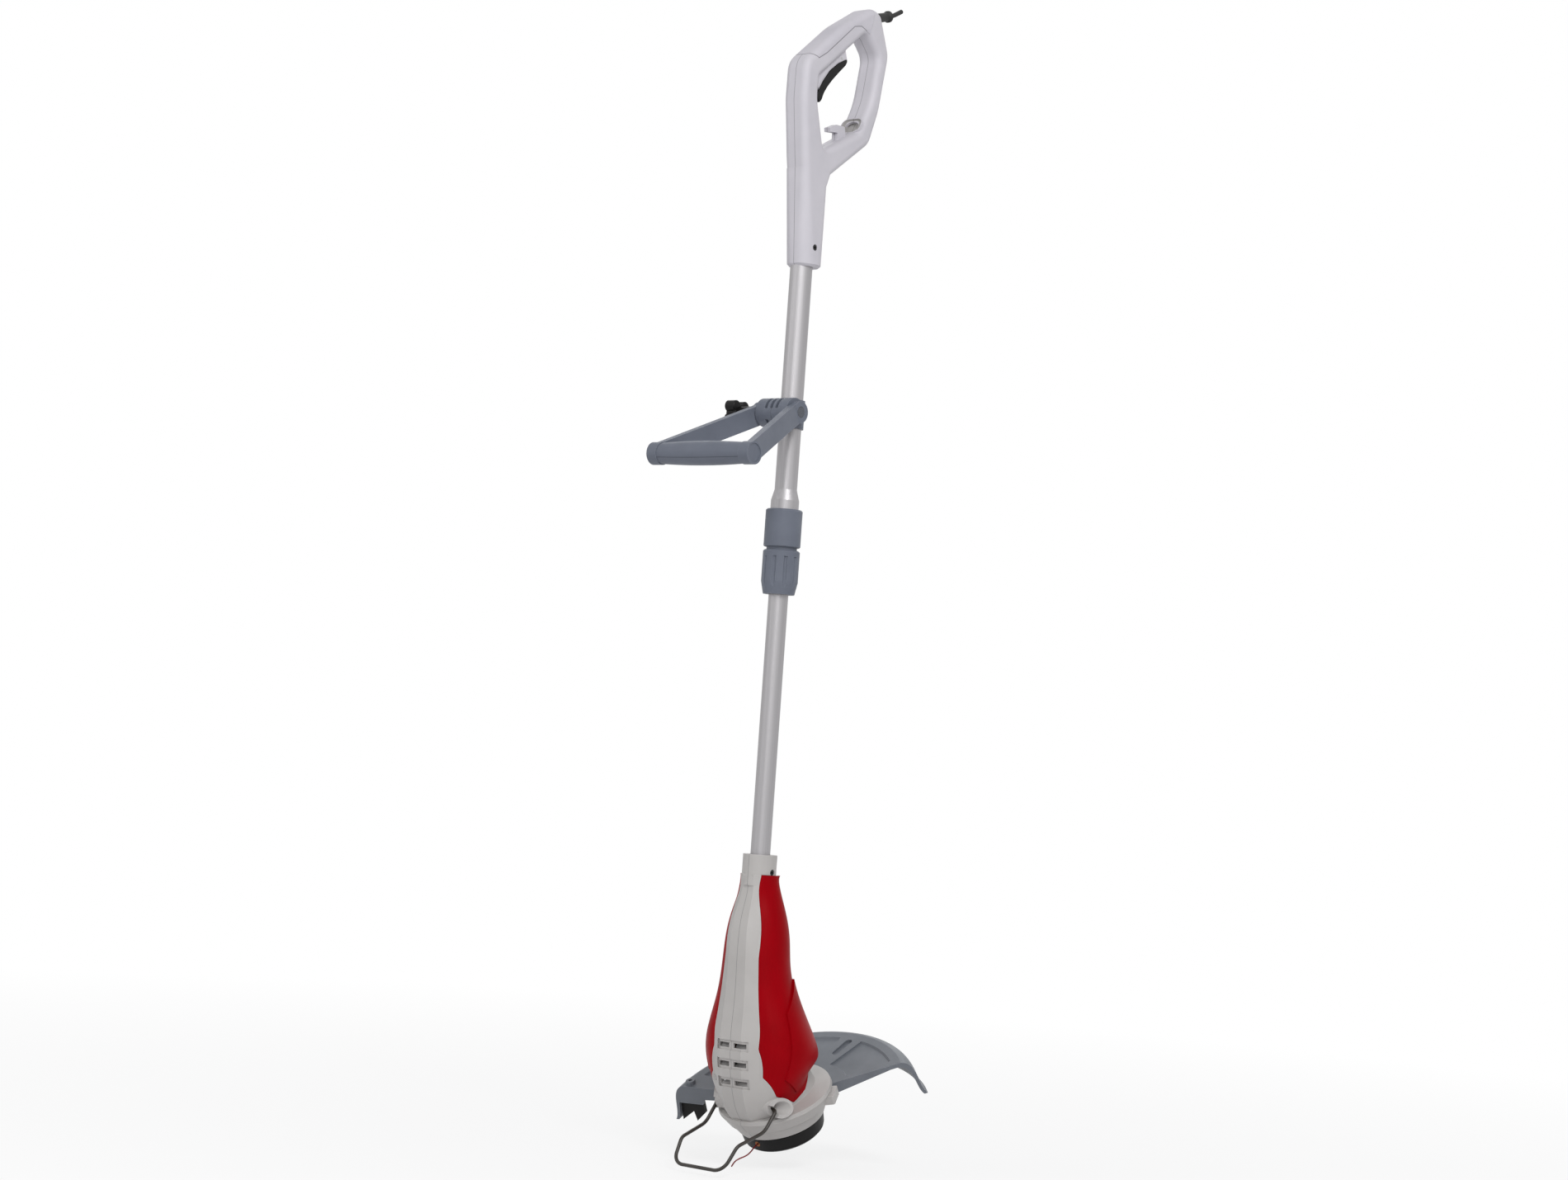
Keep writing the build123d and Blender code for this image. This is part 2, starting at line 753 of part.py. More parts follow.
def assist_handle():
    inner_x = barrel_length / 2 + arm_gap
    arm_x = inner_x + arm_thickness / 2
    end_x = assist_width / 2 - knuckle_length / 2
    arms = {}
    for sign, name in ((-1, "left"), (1, "right")):
        with BuildPart() as arm:
            with BuildSketch(assist_plan.offset(-arm_height / 2)):
                with BuildLine():
                    Polyline(
                        (sign * inner_x, -4), (sign * (inner_x + arm_thickness), -4),
                        (sign * (inner_x + arm_thickness), 8),
                        (sign * (end_x + arm_thickness / 2), assist_reach - 4),
                        (sign * (end_x - arm_thickness / 2), assist_reach - 2),
                        (sign * inner_x, 12), close=True,
                    )
                make_face()
            extrude(amount=arm_height)
            with BuildSketch(assist_cross.offset(sign * arm_x)):
                Circle(arm_height / 2 + 1.0)
            extrude(amount=arm_thickness / 2, both=True)
            with BuildSketch(grip_cross.offset(sign * end_x)):
                Circle(knuckle_od / 2)
            extrude(amount=knuckle_length / 2, both=True)
            with BuildSketch(grip_cross.offset(sign * (end_x + knuckle_length / 2))):
                Circle(knuckle_od / 2 - knuckle_rim)
            extrude(amount=-sign * knuckle_recess, mode=Mode.SUBTRACT)
            with BuildSketch(assist_cross.offset(sign * arm_x)):
                Circle(assist_bolt_od / 2 + running_gap)
            extrude(amount=arm_thickness, both=True, mode=Mode.SUBTRACT)
            with BuildSketch(assist_cross.offset(sign * (arm_x + arm_thickness / 2))):
                Circle(assist_bolt_head_od / 2 + running_gap)
            extrude(amount=-sign * arm_recess, mode=Mode.SUBTRACT)
        arms[name] = arm.part

    grip_half = end_x - knuckle_length / 2
    with BuildPart() as grip:
        with BuildSketch(Plane(origin=grip_cross.origin, x_dir=(1, 0, 0), z_dir=droop_dir)):
            with BuildLine():
                Line((-grip_half, 0), (grip_half, 0))
                Line((grip_half, 0), (grip_half, grip_od / 2))
                ThreePointArc(
                    (grip_half, grip_od / 2), (0, grip_od / 2 + grip_belly), (-grip_half, grip_od / 2),
                )
                Line((-grip_half, grip_od / 2), (-grip_half, 0))
            make_face()
        revolve(axis=Axis(grip_cross.origin, (1, 0, 0)))
    save(grip.part, "assist_grip")
    for name, arm in arms.items():
        save(largest(fused([arm], [grip.part])), f"assist_arm_{name}")

    head_x = inner_x + arm_thickness - arm_recess + arm_gap
    knob_x = -inner_x - arm_thickness - arm_gap
    stem_end = knob_x - knob_stem_length
    bolt_end = stem_end - knob_thickness + knob_cover
    save(fused([
        rod(assist_cross, assist_bolt_od, bolt_end, head_x),
        rod(assist_cross, assist_bolt_head_od, head_x, head_x + assist_bolt_head_height),
    ]), "assist_bolt")

    with BuildPart() as knob:
        with BuildSketch(assist_cross.offset(stem_end)):
            Circle(knob_od / 2 - knob_lobe_od / 2)
            with PolarLocations(knob_od / 2 - knob_lobe_od / 2, knob_lobes, start_angle=45):
                Circle(knob_lobe_od / 2)
        extrude(amount=-knob_thickness)
        chamfer(knob.faces().filter_by(Axis.X).edges(), length=knob_edge)
        with BuildSketch(assist_cross.offset(stem_end)):
            Circle(knob_stem_od / 2)
        extrude(amount=knob_stem_length)
        with BuildSketch(assist_cross.offset(knob_x)):
            Circle(assist_bolt_od / 2 + bearing_fit)
        extrude(amount=bolt_end - knob_x - 0.5, mode=Mode.SUBTRACT)
    save(knob.part, "wing_knob")


# Motor housing sections, top to bottom: tilt, y and z from the tube axis, then the right half outline
housing_sections = [
    (0, 0, 290, [(7, -18.5), (15, -13), (20, -6.5), (21, 10), (8, 21)]),
    (0, 0, 257, [(9, -21.5), (18, -16), (25, -7), (26.5, 13.5), (10.5, 27.5)]),
    (0, 0, 199, [(12, -27.9), (24, -19), (36.5, -6.5), (36.5, 17), (14.5, 37.5)]),
    (0, 0, 145, [(14, -27.5), (29, -18.5), (47.5, -2), (45.5, 32), (19.5, 56)]),
    (0, 0, 102, [(15, -29), (32, -18), (60, 5), (59, 42), (25, 78)]),
    (15, 0, 74, [(15, -25), (32, -14), (58, 12), (56, 48), (24, 80)]),
    (28, 55.6, 45.9, [(14, -50), (30, -40), (45, -15), (44, 18), (18, 46)]),
]
cover_outline = [
    (-13, 290), (-16, 257), (-19, 199), (-18.5, 145), (-18, 102), (-12, 71), (4, 51), (34, 44), (52, 58),
    (70, 88), (69, 110), (52, 145), (34, 199), (24, 257), (18, 290),
]
bulge_outline = [(2, 142), (30, 178), (60, 120), (64, 92), (46, 66), (30, 56), (4, 70)]


housing_screw_places = [(16.0, 240.0), (-9.0, 172.0), (-12.0, 64.0), (40.5, 159.0)]


def drawn_in(right, amount):
    """The right half of a symmetric outline with every side moved inwards."""
    loop = right + [(-x, y) for x, y in reversed(right)]
    moved = []
    for number in range(len(right)):
        (ax, ay), (bx, by), (cx, cy) = loop[number - 1], loop[number], loop[number + 1]
        before = Vector(bx - ax, by - ay).normalized()
        after = Vector(cx - bx, cy - by).normalized()
        inward = Vector(-before.Y - after.Y, before.X + after.X) * (amount / (1 + before.dot(after)))
        moved.append((bx + inward.X, by + inward.Y))
    return moved


def housing_half(inset):
    """The +X half of the tapered housing body, drawn in from its outside."""
    with BuildPart() as body:
        for tilt, y, z, outline in housing_sections:
            right = drawn_in(outline, inset)
            front, rear = (0, right[0][1]), (0, right[-1][1])
            up = (0, -sin(radians(tilt)), cos(radians(tilt)))
            with BuildSketch(Plane(origin=(0, y - tube_offset, z), x_dir=(1, 0, 0), z_dir=up)):
                with BuildLine():
                    Polyline(front, right[0], right[1])
                    Spline(*right[1:])
                    Polyline(right[-1], rear, front)
                make_face()
        loft()
    return body.part


def head_half(points):
    """The +X half of a solid of revolution about the head axis."""
    return turned_ring(points, head_axis, head_radial(-90), 180)


def side_zone(outline, grow=0.0):
    with BuildPart() as zone:
        with BuildSketch(side.offset(cover_root_x)):
            Polygon(*outline, align=None)
            if grow:
                offset(amount=grow)
        extrude(amount=housing_reach)
    return zone.part


def mirrored(part):
    with BuildPart() as other:
        mirror(part, about=Plane.YZ)
    return other.part


wire_axis_at = Vector(0, socket_trumpet_y, socket_trumpet_z)
wire_axis_plane = Plane(origin=wire_axis_at, x_dir=(0, 1, 0), z_dir=(1, 0, 0))
trumpet_at = wire_axis_at + Vector(0, 0, trumpet_lift)
trumpet_section = Plane(origin=trumpet_at, x_dir=(1, 0, 0), z_dir=(0, -1, 0))
wire_pin_x = wire_leg_x - wire_pin_length


def trumpet(grow=0.0):
    """A flared socket beside the front spine, cut off at a slant towards the front."""
    outside = turned_ring([
        (0, 0), (0, trumpet_root_r + grow), (trumpet_root_x, trumpet_root_r + grow),
        (trumpet_rear_x, trumpet_mouth_r + grow), (trumpet_rear_x, 0),
    ], Axis(trumpet_at, (1, 0, 0)), trumpet_section)
    front, rear = -trumpet_mouth_r, trumpet_mouth_r
    slope = (trumpet_rear_x - trumpet_front_x) / (rear - front)
    far = trumpet_rear_x + trumpet_mouth_r
    with BuildPart() as slant:
        with BuildSketch(Plane(origin=trumpet_at)):
            Polygon((trumpet_front_x + slope * front, 2 * front), (trumpet_rear_x - slope * front, 2 * rear),
                    (far, 2 * rear), (far, 2 * front), align=None)
        extrude(amount=2 * trumpet_mouth_r, both=True)
    return fused([outside], [slant.part])


def trumpet_inside():
    """The wire's bore, the flare behind its mouth and the way in which the wire swings."""
    flare = turned_ring([
        (trumpet_flare_x, 0), (trumpet_flare_x, wire_od / 2),
        (trumpet_rear_x, trumpet_mouth_r - trumpet_wall),
        (trumpet_rear_x + 1, 0),
    ], Axis(trumpet_at, (1, 0, 0)), trumpet_section)
    bore = rod(wire_axis_plane, wire_od + 2 * wire_fit, wire_pin_x - wire_end_gap, wire_leg_x)
    reach = 3 * trumpet_mouth_r
    spread = [radians(wire_way_low + (wire_way_high - wire_way_low) * share) for share in (0, 0.5, 1)]
    with BuildPart() as way:
        with BuildSketch(wire_axis_plane.offset(wire_leg_x - wire_bend_r)):
            Polygon((0, 0), *[(-reach * cos(turn), reach * sin(turn)) for turn in spread], align=None)
            offset(amount=wire_od / 2 + wire_way_gap)
        extrude(amount=trumpet_rear_x)
    return [flare, bore, way.part]


def motor_housing():
    outer = housing_half(0.0)
    skin = housing_half(cover_skin)
    core = housing_half(cover_skin + housing_wall)
    middle = housing_half(cover_skin + housing_wall / 2)
    proud = housing_half(-bulge_rise)
    horn = trumpet()
    cover = fused([
        fused([outer], [skin], side_zone(cover_outline)),
        fused([proud], [skin], side_zone(bulge_outline)),
    ], [trumpet(cover_gap)])
    save(cover, "side_cover_right")
    save(mirrored(cover), "side_cover_left")
    pocket = fused([side_zone(cover_outline, cover_gap)], [skin, horn])

    floor_h = flange_bottom_h + flange_floor
    base = head_half([
        (0, flange_bottom_h), (flange_bottom_r, flange_bottom_h), (flange_r, flange_top_h - flange_edge),
        (flange_r - 1, flange_top_h), (44, flange_top_h + 3), (0, flange_top_h + 3),
    ])
    hollow = head_half([
        (0, floor_h), (flange_bottom_r - 3, floor_h), (flange_r - 3.5, flange_top_h - flange_edge),
        (flange_r - 4, flange_top_h - 3), (40, flange_top_h), (0, flange_top_h),
    ])
    bearing_r = bearing_od / 2
    seat_top = lower_bearing_h + bearing_width
    bearing_seat = head_half([
        (bearing_r, floor_h - 0.5), (bearing_r + 3, floor_h - 0.5),
        (bearing_r + 3, seat_top), (bearing_r, seat_top),
    ])
    wall_places = [(stator_r, stator_h + 4, 3.0), (stator_r, stator_h + stator_length - 7, 3.0),
                   (bearing_r, upper_bearing_h, bearing_width)]
    walls = [
        head_half([(r, h), (housing_reach, h), (housing_reach, h + t), (r, h + t)])
        for r, h, t in wall_places
    ]
    screw_planes = [across(y, z) for y, z in housing_screw_places]
    bosses = [rod(plane, screw_boss_od, 0, housing_reach) for plane in screw_planes]

    collar_z = motor_collar_z - collar_height
    collar = halves(rod(tube_foot, collar_od, collar_z, motor_collar_z))[1]
    collar_plane = across(0, motor_collar_z - collar_bolt_drop)
    bolt_seat = collar_od / 2 - bolt_sink

    openings = []
    for row in range(vent_rows):
        z = vent_top_z - row * vent_pitch
        front = Plane(origin=(0, -tube_offset - vent_reach, z), x_dir=(1, 0, 0), z_dir=(0, 1, 0))
        with BuildPart() as slot:
            with BuildSketch(front):
                with Locations((vent_rib / 2 + vent_width / 2, 0)):
                    Rectangle(vent_width, vent_height)
            extrude(amount=vent_reach)
        with BuildPart() as frame:
            with BuildSketch(front):
                with Locations((vent_rib / 2 + vent_width / 2, 0)):
                    Rectangle(vent_width + 2 * vent_frame, vent_height + 2 * vent_frame)
            extrude(amount=vent_reach)
        openings += [slot.part, fused([frame.part], [skin])]

    shell = fused([outer, base, horn, collar], [core, hollow, pocket])
    screw_r = head_radial(guard_screw_angle)
    guard_hole = Plane(origin=head_up * guard_screw_h, x_dir=head_up, z_dir=screw_r.x_dir)
    shell = fused([shell, bearing_seat, fused(walls + bosses, [], middle)], [
        *trumpet_inside(), *openings,
        rod(tube_foot, lower_tube_od, lower_tube_bottom_z, motor_collar_z + 1),
        rod(tube_foot, lead_diameter + 4, lower_tube_bottom_z - 30, motor_collar_z),
        rod(head, shaft_od + 2.0, flange_bottom_h - 1, floor_h + 1),
        rod(guard_hole, screw_shank_od, guard_screw_tip_r - 1, flange_r),
        *[rod(plane, screw_shank_od, -1, housing_screw_tip) for plane in screw_planes],
    ])
    with BuildPart() as lug:
        with BuildSketch(head_plane(lug_bottom_h, lug_angle)):
            with Locations((flange_bottom_r + lug_reach / 2, 0)):
                RectangleRounded(lug_reach + 6.0, lug_width, 2.0)
        extrude(amount=lug_height)
    right = fused([shell, fused([lug.part], [hollow])], [
        rod(collar_plane, screw_head_od + 1.0, bolt_seat, collar_od),
        rod(collar_plane, screw_shank_od, 0, collar_od),
    ])
    left = fused([mirrored(shell)], [
        rod(plane, screw_head_od + 0.6, -housing_reach, -housing_screw_seat) for plane in screw_planes
    ])
    save(largest(right), "motor_housing_right")
    save(largest(left), "motor_housing_left")
    screws = screw_group(screw_planes, screw_head_od, screw_head_height, screw_shank_od, -housing_screw_seat,
                         housing_screw_tip)
    save(screws, "housing_screws")


def motor_inside():
    """Bearings, stator, armature, commutator, brushes and the cooling fan on the motor shaft."""
    shaft_r = shaft_od / 2
    section = head_section
    for name, h in (("lower_bearing", lower_bearing_h), ("upper_bearing", upper_bearing_h)):
        save(turned_ring([
            (shaft_r + bearing_fit, h), (bearing_od / 2, h), (bearing_od / 2, h + bearing_width),
            (shaft_r + bearing_fit, h + bearing_width),
        ], head_axis, section), name)
    save(rod(head_plane(0), shaft_od, carrier_top_h - 6.0, shaft_top_h), "motor_shaft")

    with BuildPart() as stator:
        with BuildSketch(head_plane(stator_h)):
            Circle(stator_r)
            Circle(stator_bore_r, mode=Mode.SUBTRACT)
            with PolarLocations(stator_bore_r + 5.0, 2, start_angle=0):
                Rectangle(9.0, 30.0, mode=Mode.SUBTRACT)
        extrude(amount=stator_length)
    save(stator.part, "stator")

    with BuildPart() as coils:
        for h in (stator_h - 6.0, stator_h + stator_length):
            with BuildSketch(head_plane(h)):
                Circle(stator_bore_r + 10.0)
                Circle(stator_bore_r + 1.5, mode=Mode.SUBTRACT)
            extrude(amount=6.0)
    save(coils.part, "field_coils")

    with BuildPart() as armature:
        with BuildSketch(head_plane(stator_h)):
            Circle(armature_r)
            Circle(shaft_r, mode=Mode.SUBTRACT)
            with PolarLocations(armature_r - 2.0, armature_slots):
                Rectangle(6.0, 2.4, mode=Mode.SUBTRACT)
        extrude(amount=stator_length)
    save(armature.part, "armature")

    with BuildPart() as commutator:
        with BuildSketch(head_plane(commutator_h)):
            Circle(commutator_r)
            Circle(shaft_r, mode=Mode.SUBTRACT)
            with PolarLocations(commutator_r, armature_slots):
                Rectangle(1.6, 0.8, mode=Mode.SUBTRACT)
        extrude(amount=commutator_length)
    save(commutator.part, "commutator")

    brush_h = commutator_h + commutator_length / 2
    brushes, holders = [], []
    for sign in (-1, 1):
        start = commutator_r + brush_gap
        plane = Plane(origin=head_up * brush_h, x_dir=head_rear, z_dir=(sign, 0, 0))
        with BuildPart() as brush:
            with BuildSketch(plane.offset(start)):
                Rectangle(brush_section, brush_section)
            extrude(amount=brush_length)
        brushes.append(brush.part)
        with BuildPart() as holder:
            with BuildSketch(plane.offset(start + 3.0)):
                Rectangle(brush_section + 5.0, brush_section + 5.0)
                Rectangle(brush_section, brush_section, mode=Mode.SUBTRACT)
            extrude(amount=brush_length + 6.0)
            with BuildSketch(plane.offset(start + 3.0)):
                top = upper_bearing_h - brush_h
                low = brush_section / 2 + 2.5
                with Locations((0, sign * (top + low) / 2)):
                    Rectangle(brush_section + 5.0, top - low)
            extrude(amount=brush_length + 6.0)
        holders.append(holder.part)
    save(Compound(children=brushes), "carbon_brushes")
    save(Compound(children=holders), "brush_holders")

    with BuildPart() as fan:
        with BuildSketch(head_plane(fan_h)):
            Circle(fan_r)
            Circle(shaft_r, mode=Mode.SUBTRACT)
        extrude(amount=2.0)
        with BuildSketch(head_plane(fan_h)):
            Circle(shaft_r + 5.0)
            Circle(shaft_r, mode=Mode.SUBTRACT)
        extrude(amount=fan_height)
        with BuildSketch(head_plane(fan_h)):
            with PolarLocations((fan_r + shaft_r + 8.0) / 2, fan_blades):
                Rectangle(fan_r - shaft_r - 8.0, 1.6, rotation=18)
        extrude(amount=fan_height)
    save(fan.part, "cooling_fan")


eyelet_h = 16.5
eyelet_at = head_up * eyelet_h - head_rear * (carrier_bottom_r - 3.0)
eyelet_plane = Plane(origin=eyelet_at, x_dir=(1, 0, 0), z_dir=-head_rear)


def cutting_head():
    section = head_section
    shaft_r = shaft_od / 2
    floor = carrier_top_h - carrier_floor
    wall = carrier_wall
    hub_top = flange_bottom_h - carrier_hub_gap
    with BuildPart() as carrier:
        add(turned_ring([
            (shaft_r, floor), (carrier_top_r - wall, floor), (carrier_bottom_r - wall, carrier_bottom_h),
            (carrier_bottom_r, carrier_bottom_h), (carrier_top_r, carrier_top_h - 1),
            (carrier_top_r - 1, carrier_top_h),
            (shaft_r + 5, carrier_top_h), (shaft_r + 5, hub_top), (shaft_r, hub_top),
        ], head_axis, section))
        add(rod(eyelet_plane, eyelet_od, -3, 8), mode=Mode.SUBTRACT)
        for angle in range(0, 360, 60):
            with BuildSketch(head_radial(angle + 15.0)):
                Polygon((carrier_top_r + 4, carrier_bottom_h - 1),
                        (carrier_top_r - cap_tab_depth, carrier_bottom_h - 1),
                        (carrier_top_r - cap_tab_depth + 0.6, carrier_top_h - 4),
                        (carrier_top_r + 4, carrier_top_h - 4),
                        align=None)
            extrude(amount=cap_tab_width / 2, both=True, mode=Mode.SUBTRACT)
    save(carrier.part, "spool_carrier")

    bore = eyelet_bore / 2
    with BuildPart() as eyelet:
        with BuildSketch(eyelet_plane):
            Circle(eyelet_od / 2)
            Circle(bore, mode=Mode.SUBTRACT)
        extrude(amount=4.0)
    save(eyelet.part, "line_eyelet")

    tap_hole = tap_r + tap_gap
    cap_floor_top = cap_bottom_h + cap_floor
    save(turned_ring([
        (tap_hole, cap_bottom_h), (cap_rim_r, cap_bottom_h), (cap_r, carrier_bottom_h - 2.4),
        (cap_r, carrier_bottom_h), (carrier_bottom_r - wall - 0.1, carrier_bottom_h),
        (carrier_bottom_r - wall - 0.1, carrier_bottom_h + 3),
        (carrier_bottom_r - wall - 2, carrier_bottom_h + 3),
        (cap_rim_r - 2, cap_floor_top), (tap_hole, cap_floor_top),
    ], head_axis, section), "spool_cap")

    tap_top = spool_bottom_h
    save(turned_ring([
        (0, 0), (tap_face_r, 0), (tap_r - 1.5, 1.2), (tap_r, 3.4), (tap_r, cap_floor_top + tap_gap),
        (tap_r + 2.5, cap_floor_top + tap_gap), (tap_r + 2.5, tap_top), (0, tap_top),
    ], head_axis, section), "tap_button")

    spool_top = spool_bottom_h + spool_height
    save(turned_ring([
        (0, spool_bottom_h), (spool_r, spool_bottom_h), (spool_r, spool_bottom_h + spool_flange),
        (spool_hub_r, spool_bottom_h + spool_flange), (spool_hub_r, spool_top - spool_flange),
        (spool_r, spool_top - spool_flange), (spool_r, spool_top), (spool_hub_r - 2, spool_top),
        (spool_hub_r - 2, spool_bottom_h + spool_flange), (0, spool_bottom_h + spool_flange),
    ], head_axis, section), "line_spool")
    save(turned_ring([
        (spool_hub_r, spool_bottom_h + spool_flange), (line_fill_r, spool_bottom_h + spool_flange),
        (line_fill_r, spool_top - spool_flange), (spool_hub_r, spool_top - spool_flange),
    ], head_axis, section), "wound_line")

    spring_base = spool_bottom_h + spool_flange + tap_spring_wire / 2
    spring_height = floor - spring_base - tap_spring_wire / 2
    save(coil_spring(head_up * spring_base, head_up, spring_height,
                     tap_spring_r, tap_spring_wire, tap_spring_turns),
         "tap_spring")
    print("tap spring gap", round(spring_height / tap_spring_turns - tap_spring_wire, 2))


def head_skirt():
    save(turned_ring([
        (skirt_bottom_r - 12, flange_bottom_h), (skirt_top_r, flange_bottom_h),
        (skirt_top_r, flange_bottom_h - 2), (skirt_bottom_r, skirt_bottom_h),
        (skirt_bottom_r - 2, skirt_bottom_h), (skirt_top_r - 3, flange_bottom_h - 3),
        (skirt_bottom_r - 12, flange_bottom_h - 3),
    ], head_axis, head_section), "head_skirt")


# Recessed pans of the debris guard between its radial ribs, as start and end angles
guard_pan_spans = [(48.0, 80.0), (94.0, 120.0), (123.5, 149.5), (153.0, 174.0)]
guard_slot_angle = 87.0
start_rib_outline = [(50, 45), (50, 33), (126, 45.5), (126, 48)]
end_wall_outline = [(50, 45), (50, 36), (112, 34), (114, 27.5), (149.5, 28.5), (144, 42), (132, 47.5)]
cutter_holder_outline = [(116, 36), (142, 36), (147, 26), (150.5, 3.5), (132.5, 15.5), (131, 3), (117.5, 14)]
cutter_blade_outline = [(119, 34), (141, 34), (146, 25), (148.5, 7), (132.5, 18.5), (131.3, 6.5), (119, 15.5)]
cutter_screw_place = (130.0, 29.5)

guard_at = Vector(guard_shift, 0, 0) + head_rear * guard_back
guard_axis = Axis(guard_at, head_up)
guard_under_h = guard_inner_h - guard_plate


def flange_radius(h):
    """Outside radius of the conical flange wall at a height."""
    rise = flange_top_h - flange_edge - flange_bottom_h
    return flange_bottom_r + (flange_r - flange_bottom_r) * (h - flange_bottom_h) / rise


def guard_radial(angle):
    """A plane through the guard's own axis: x outwards at the angle, y up the axis."""
    plane = head_radial(angle)
    return Plane(origin=guard_at, x_dir=plane.x_dir, z_dir=plane.z_dir)


def guard_top(r):
    """Height of the guard's upper face, which rises towards the rim."""
    return guard_inner_h + (guard_top_h - guard_inner_h) * (r - guard_hub_r) / (guard_r - guard_hub_r)


def guard_plate_part():
    """The guard's rising plate and its curved skirt, swept about the guard's axis."""
    lip_in = guard_lip_r - guard_skirt_wall
    mid_r, mid_h = guard_r + guard_shoulder, guard_top_h - guard_shoulder_drop
    low_r, low_h = (mid_r + guard_lip_r) / 2, (mid_h + guard_lip_h) / 2 + guard_skirt_bow
    with BuildPart() as plate:
        with BuildSketch(guard_radial(guard_start)):
            with BuildLine():
                Spline((guard_r, guard_top_h), (mid_r, mid_h), (low_r, low_h), (guard_lip_r, guard_lip_h))
                Line((guard_lip_r, guard_lip_h), (lip_in, guard_lip_h))
                Spline((lip_in, guard_lip_h), (low_r - guard_skirt_wall, low_h - 1),
                       (mid_r - guard_skirt_wall, mid_h - guard_skirt_wall),
                       (guard_r - 3, guard_top_h - guard_plate))
                Polyline((guard_r - 3, guard_top_h - guard_plate), (guard_hub_r, guard_under_h),
                         (guard_hub_r, guard_inner_h), (guard_r, guard_top_h))
            make_face()
        revolve(axis=guard_axis, revolution_arc=guard_end - guard_start)
    return plate.part


def guard_wall(angle, outline, thickness):
    with BuildPart() as wall:
        with BuildSketch(guard_radial(angle)):
            Polygon(*outline, align=None)
        extrude(amount=thickness)
    return wall.part


def debris_guard():
    pans = []
    for start, end in guard_pan_spans:
        inner, outer = guard_pan_inner_r, guard_pan_outer_r
        pans.append(turned_ring([
            (inner, guard_top(inner) - guard_pan_depth), (outer, guard_top(outer) - guard_pan_depth),
            (outer + 3, guard_top(outer) + 1), (inner - 3, guard_top(inner) + 1),
        ], guard_axis, guard_radial(start), end - start))
    slot_middle = (guard_slot_inner_r + guard_pan_outer_r) / 2
    turned = head_plane(0, guard_slot_angle)
    slot_at = guard_at + head_up * (guard_top(guard_slot_inner_r) - guard_pan_depth)
    with BuildPart() as slot:
        with BuildSketch(Plane(origin=slot_at, x_dir=turned.x_dir, z_dir=head_up)):
            with Locations((slot_middle, 0)):
                SlotOverall(guard_pan_outer_r - guard_slot_inner_r, guard_slot_width)
        extrude(amount=2 * guard_pan_depth)

    boss_at = guard_at + head_radial(guard_boss_angle).x_dir * guard_boss_r
    boss_plane = Plane(origin=boss_at, x_dir=(1, 0, 0), z_dir=head_up)
    boss_top = guard_top(guard_boss_r) + guard_boss_height
    boss = rod(boss_plane, guard_boss_od, boss_top - guard_boss_height - guard_plate / 2, boss_top)

    pads, screws, holes = [], [], []
    pad_r = flange_radius(guard_screw_h) + guard_pad_reach
    for angle in (guard_screw_angle, 180 - guard_screw_angle):
        plane = Plane(origin=head_up * guard_screw_h, x_dir=head_up, z_dir=head_radial(angle).x_dir)
        with BuildPart() as pad:
            with BuildSketch(plane.offset(guard_screw_tip_r)):
                Rectangle(guard_pad_height, guard_pad_width)
            extrude(amount=pad_r - guard_screw_tip_r)
        pads.append(pad.part)
        holes += [rod(plane, screw_shank_od, guard_screw_tip_r, pad_r + 1),
                  rod(plane, screw_head_od + 0.6, pad_r, pad_r + guard_groove)]
        screws.append(fused([rod(plane, screw_head_od, pad_r, pad_r + screw_head_height),
                             rod(plane, screw_shank_od, guard_screw_tip_r, pad_r)]))
    save(Compound(children=screws), "guard_screws")

    holder_plane = guard_radial(guard_end).offset(guard_edge_wall)
    blade_plane = holder_plane.offset(cutter_holder_thickness)
    screw_at = holder_plane.from_local_coords(Vector(*cutter_screw_place, 0))
    screw_plane = Plane(origin=screw_at, x_dir=holder_plane.x_dir, z_dir=holder_plane.z_dir)
    cutter_face = cutter_holder_thickness + cutter_thickness
    cutter_hole = rod(screw_plane, cutter_screw_od, -cutter_screw_sink, cutter_face + 1)
    for name, plane, outline, thickness in (
        ("cutter_holder", holder_plane, cutter_holder_outline, cutter_holder_thickness),
        ("cutter_blade", blade_plane, cutter_blade_outline, cutter_thickness),
    ):
        with BuildPart() as leaf:
            with BuildSketch(plane):
                Polygon(*outline, align=None)
            extrude(amount=thickness)
        save(fused([leaf.part], [cutter_hole]), name)
    save(fused([
        rod(screw_plane, cutter_screw_od, -cutter_screw_sink, cutter_face),
        rod(screw_plane, 2 * cutter_screw_od, cutter_face, cutter_face + cutter_screw_head),
    ]), "cutter_screw")

    flange = turned_ring([
        (0, skirt_bottom_h), (flange_radius(skirt_bottom_h), skirt_bottom_h),
        (flange_radius(flange_top_h), flange_top_h), (0, flange_top_h),
    ], head_axis, head_section)
    plate = fused([guard_plate_part(), guard_wall(guard_start, start_rib_outline, -guard_edge_wall),
                   guard_wall(guard_end, end_wall_outline, guard_edge_wall)], [*pans, slot.part])
    boss_hole = rod(boss_plane, guard_boss_hole, 0, boss_top + 1)
    save(largest(fused([plate, boss, *pads], [flange, boss_hole, cutter_hole, *holes])), "debris_guard")


# Corners of one half of the plant guard from its axis: x, forward, up and bend radius
wire_corners = [
    (wire_leg_x, 0, 0, wire_bend_r), (41.8, 18, -23, 24), (39.5, 60, -36.5, 14), (35, 76.5, -63, 15),
]


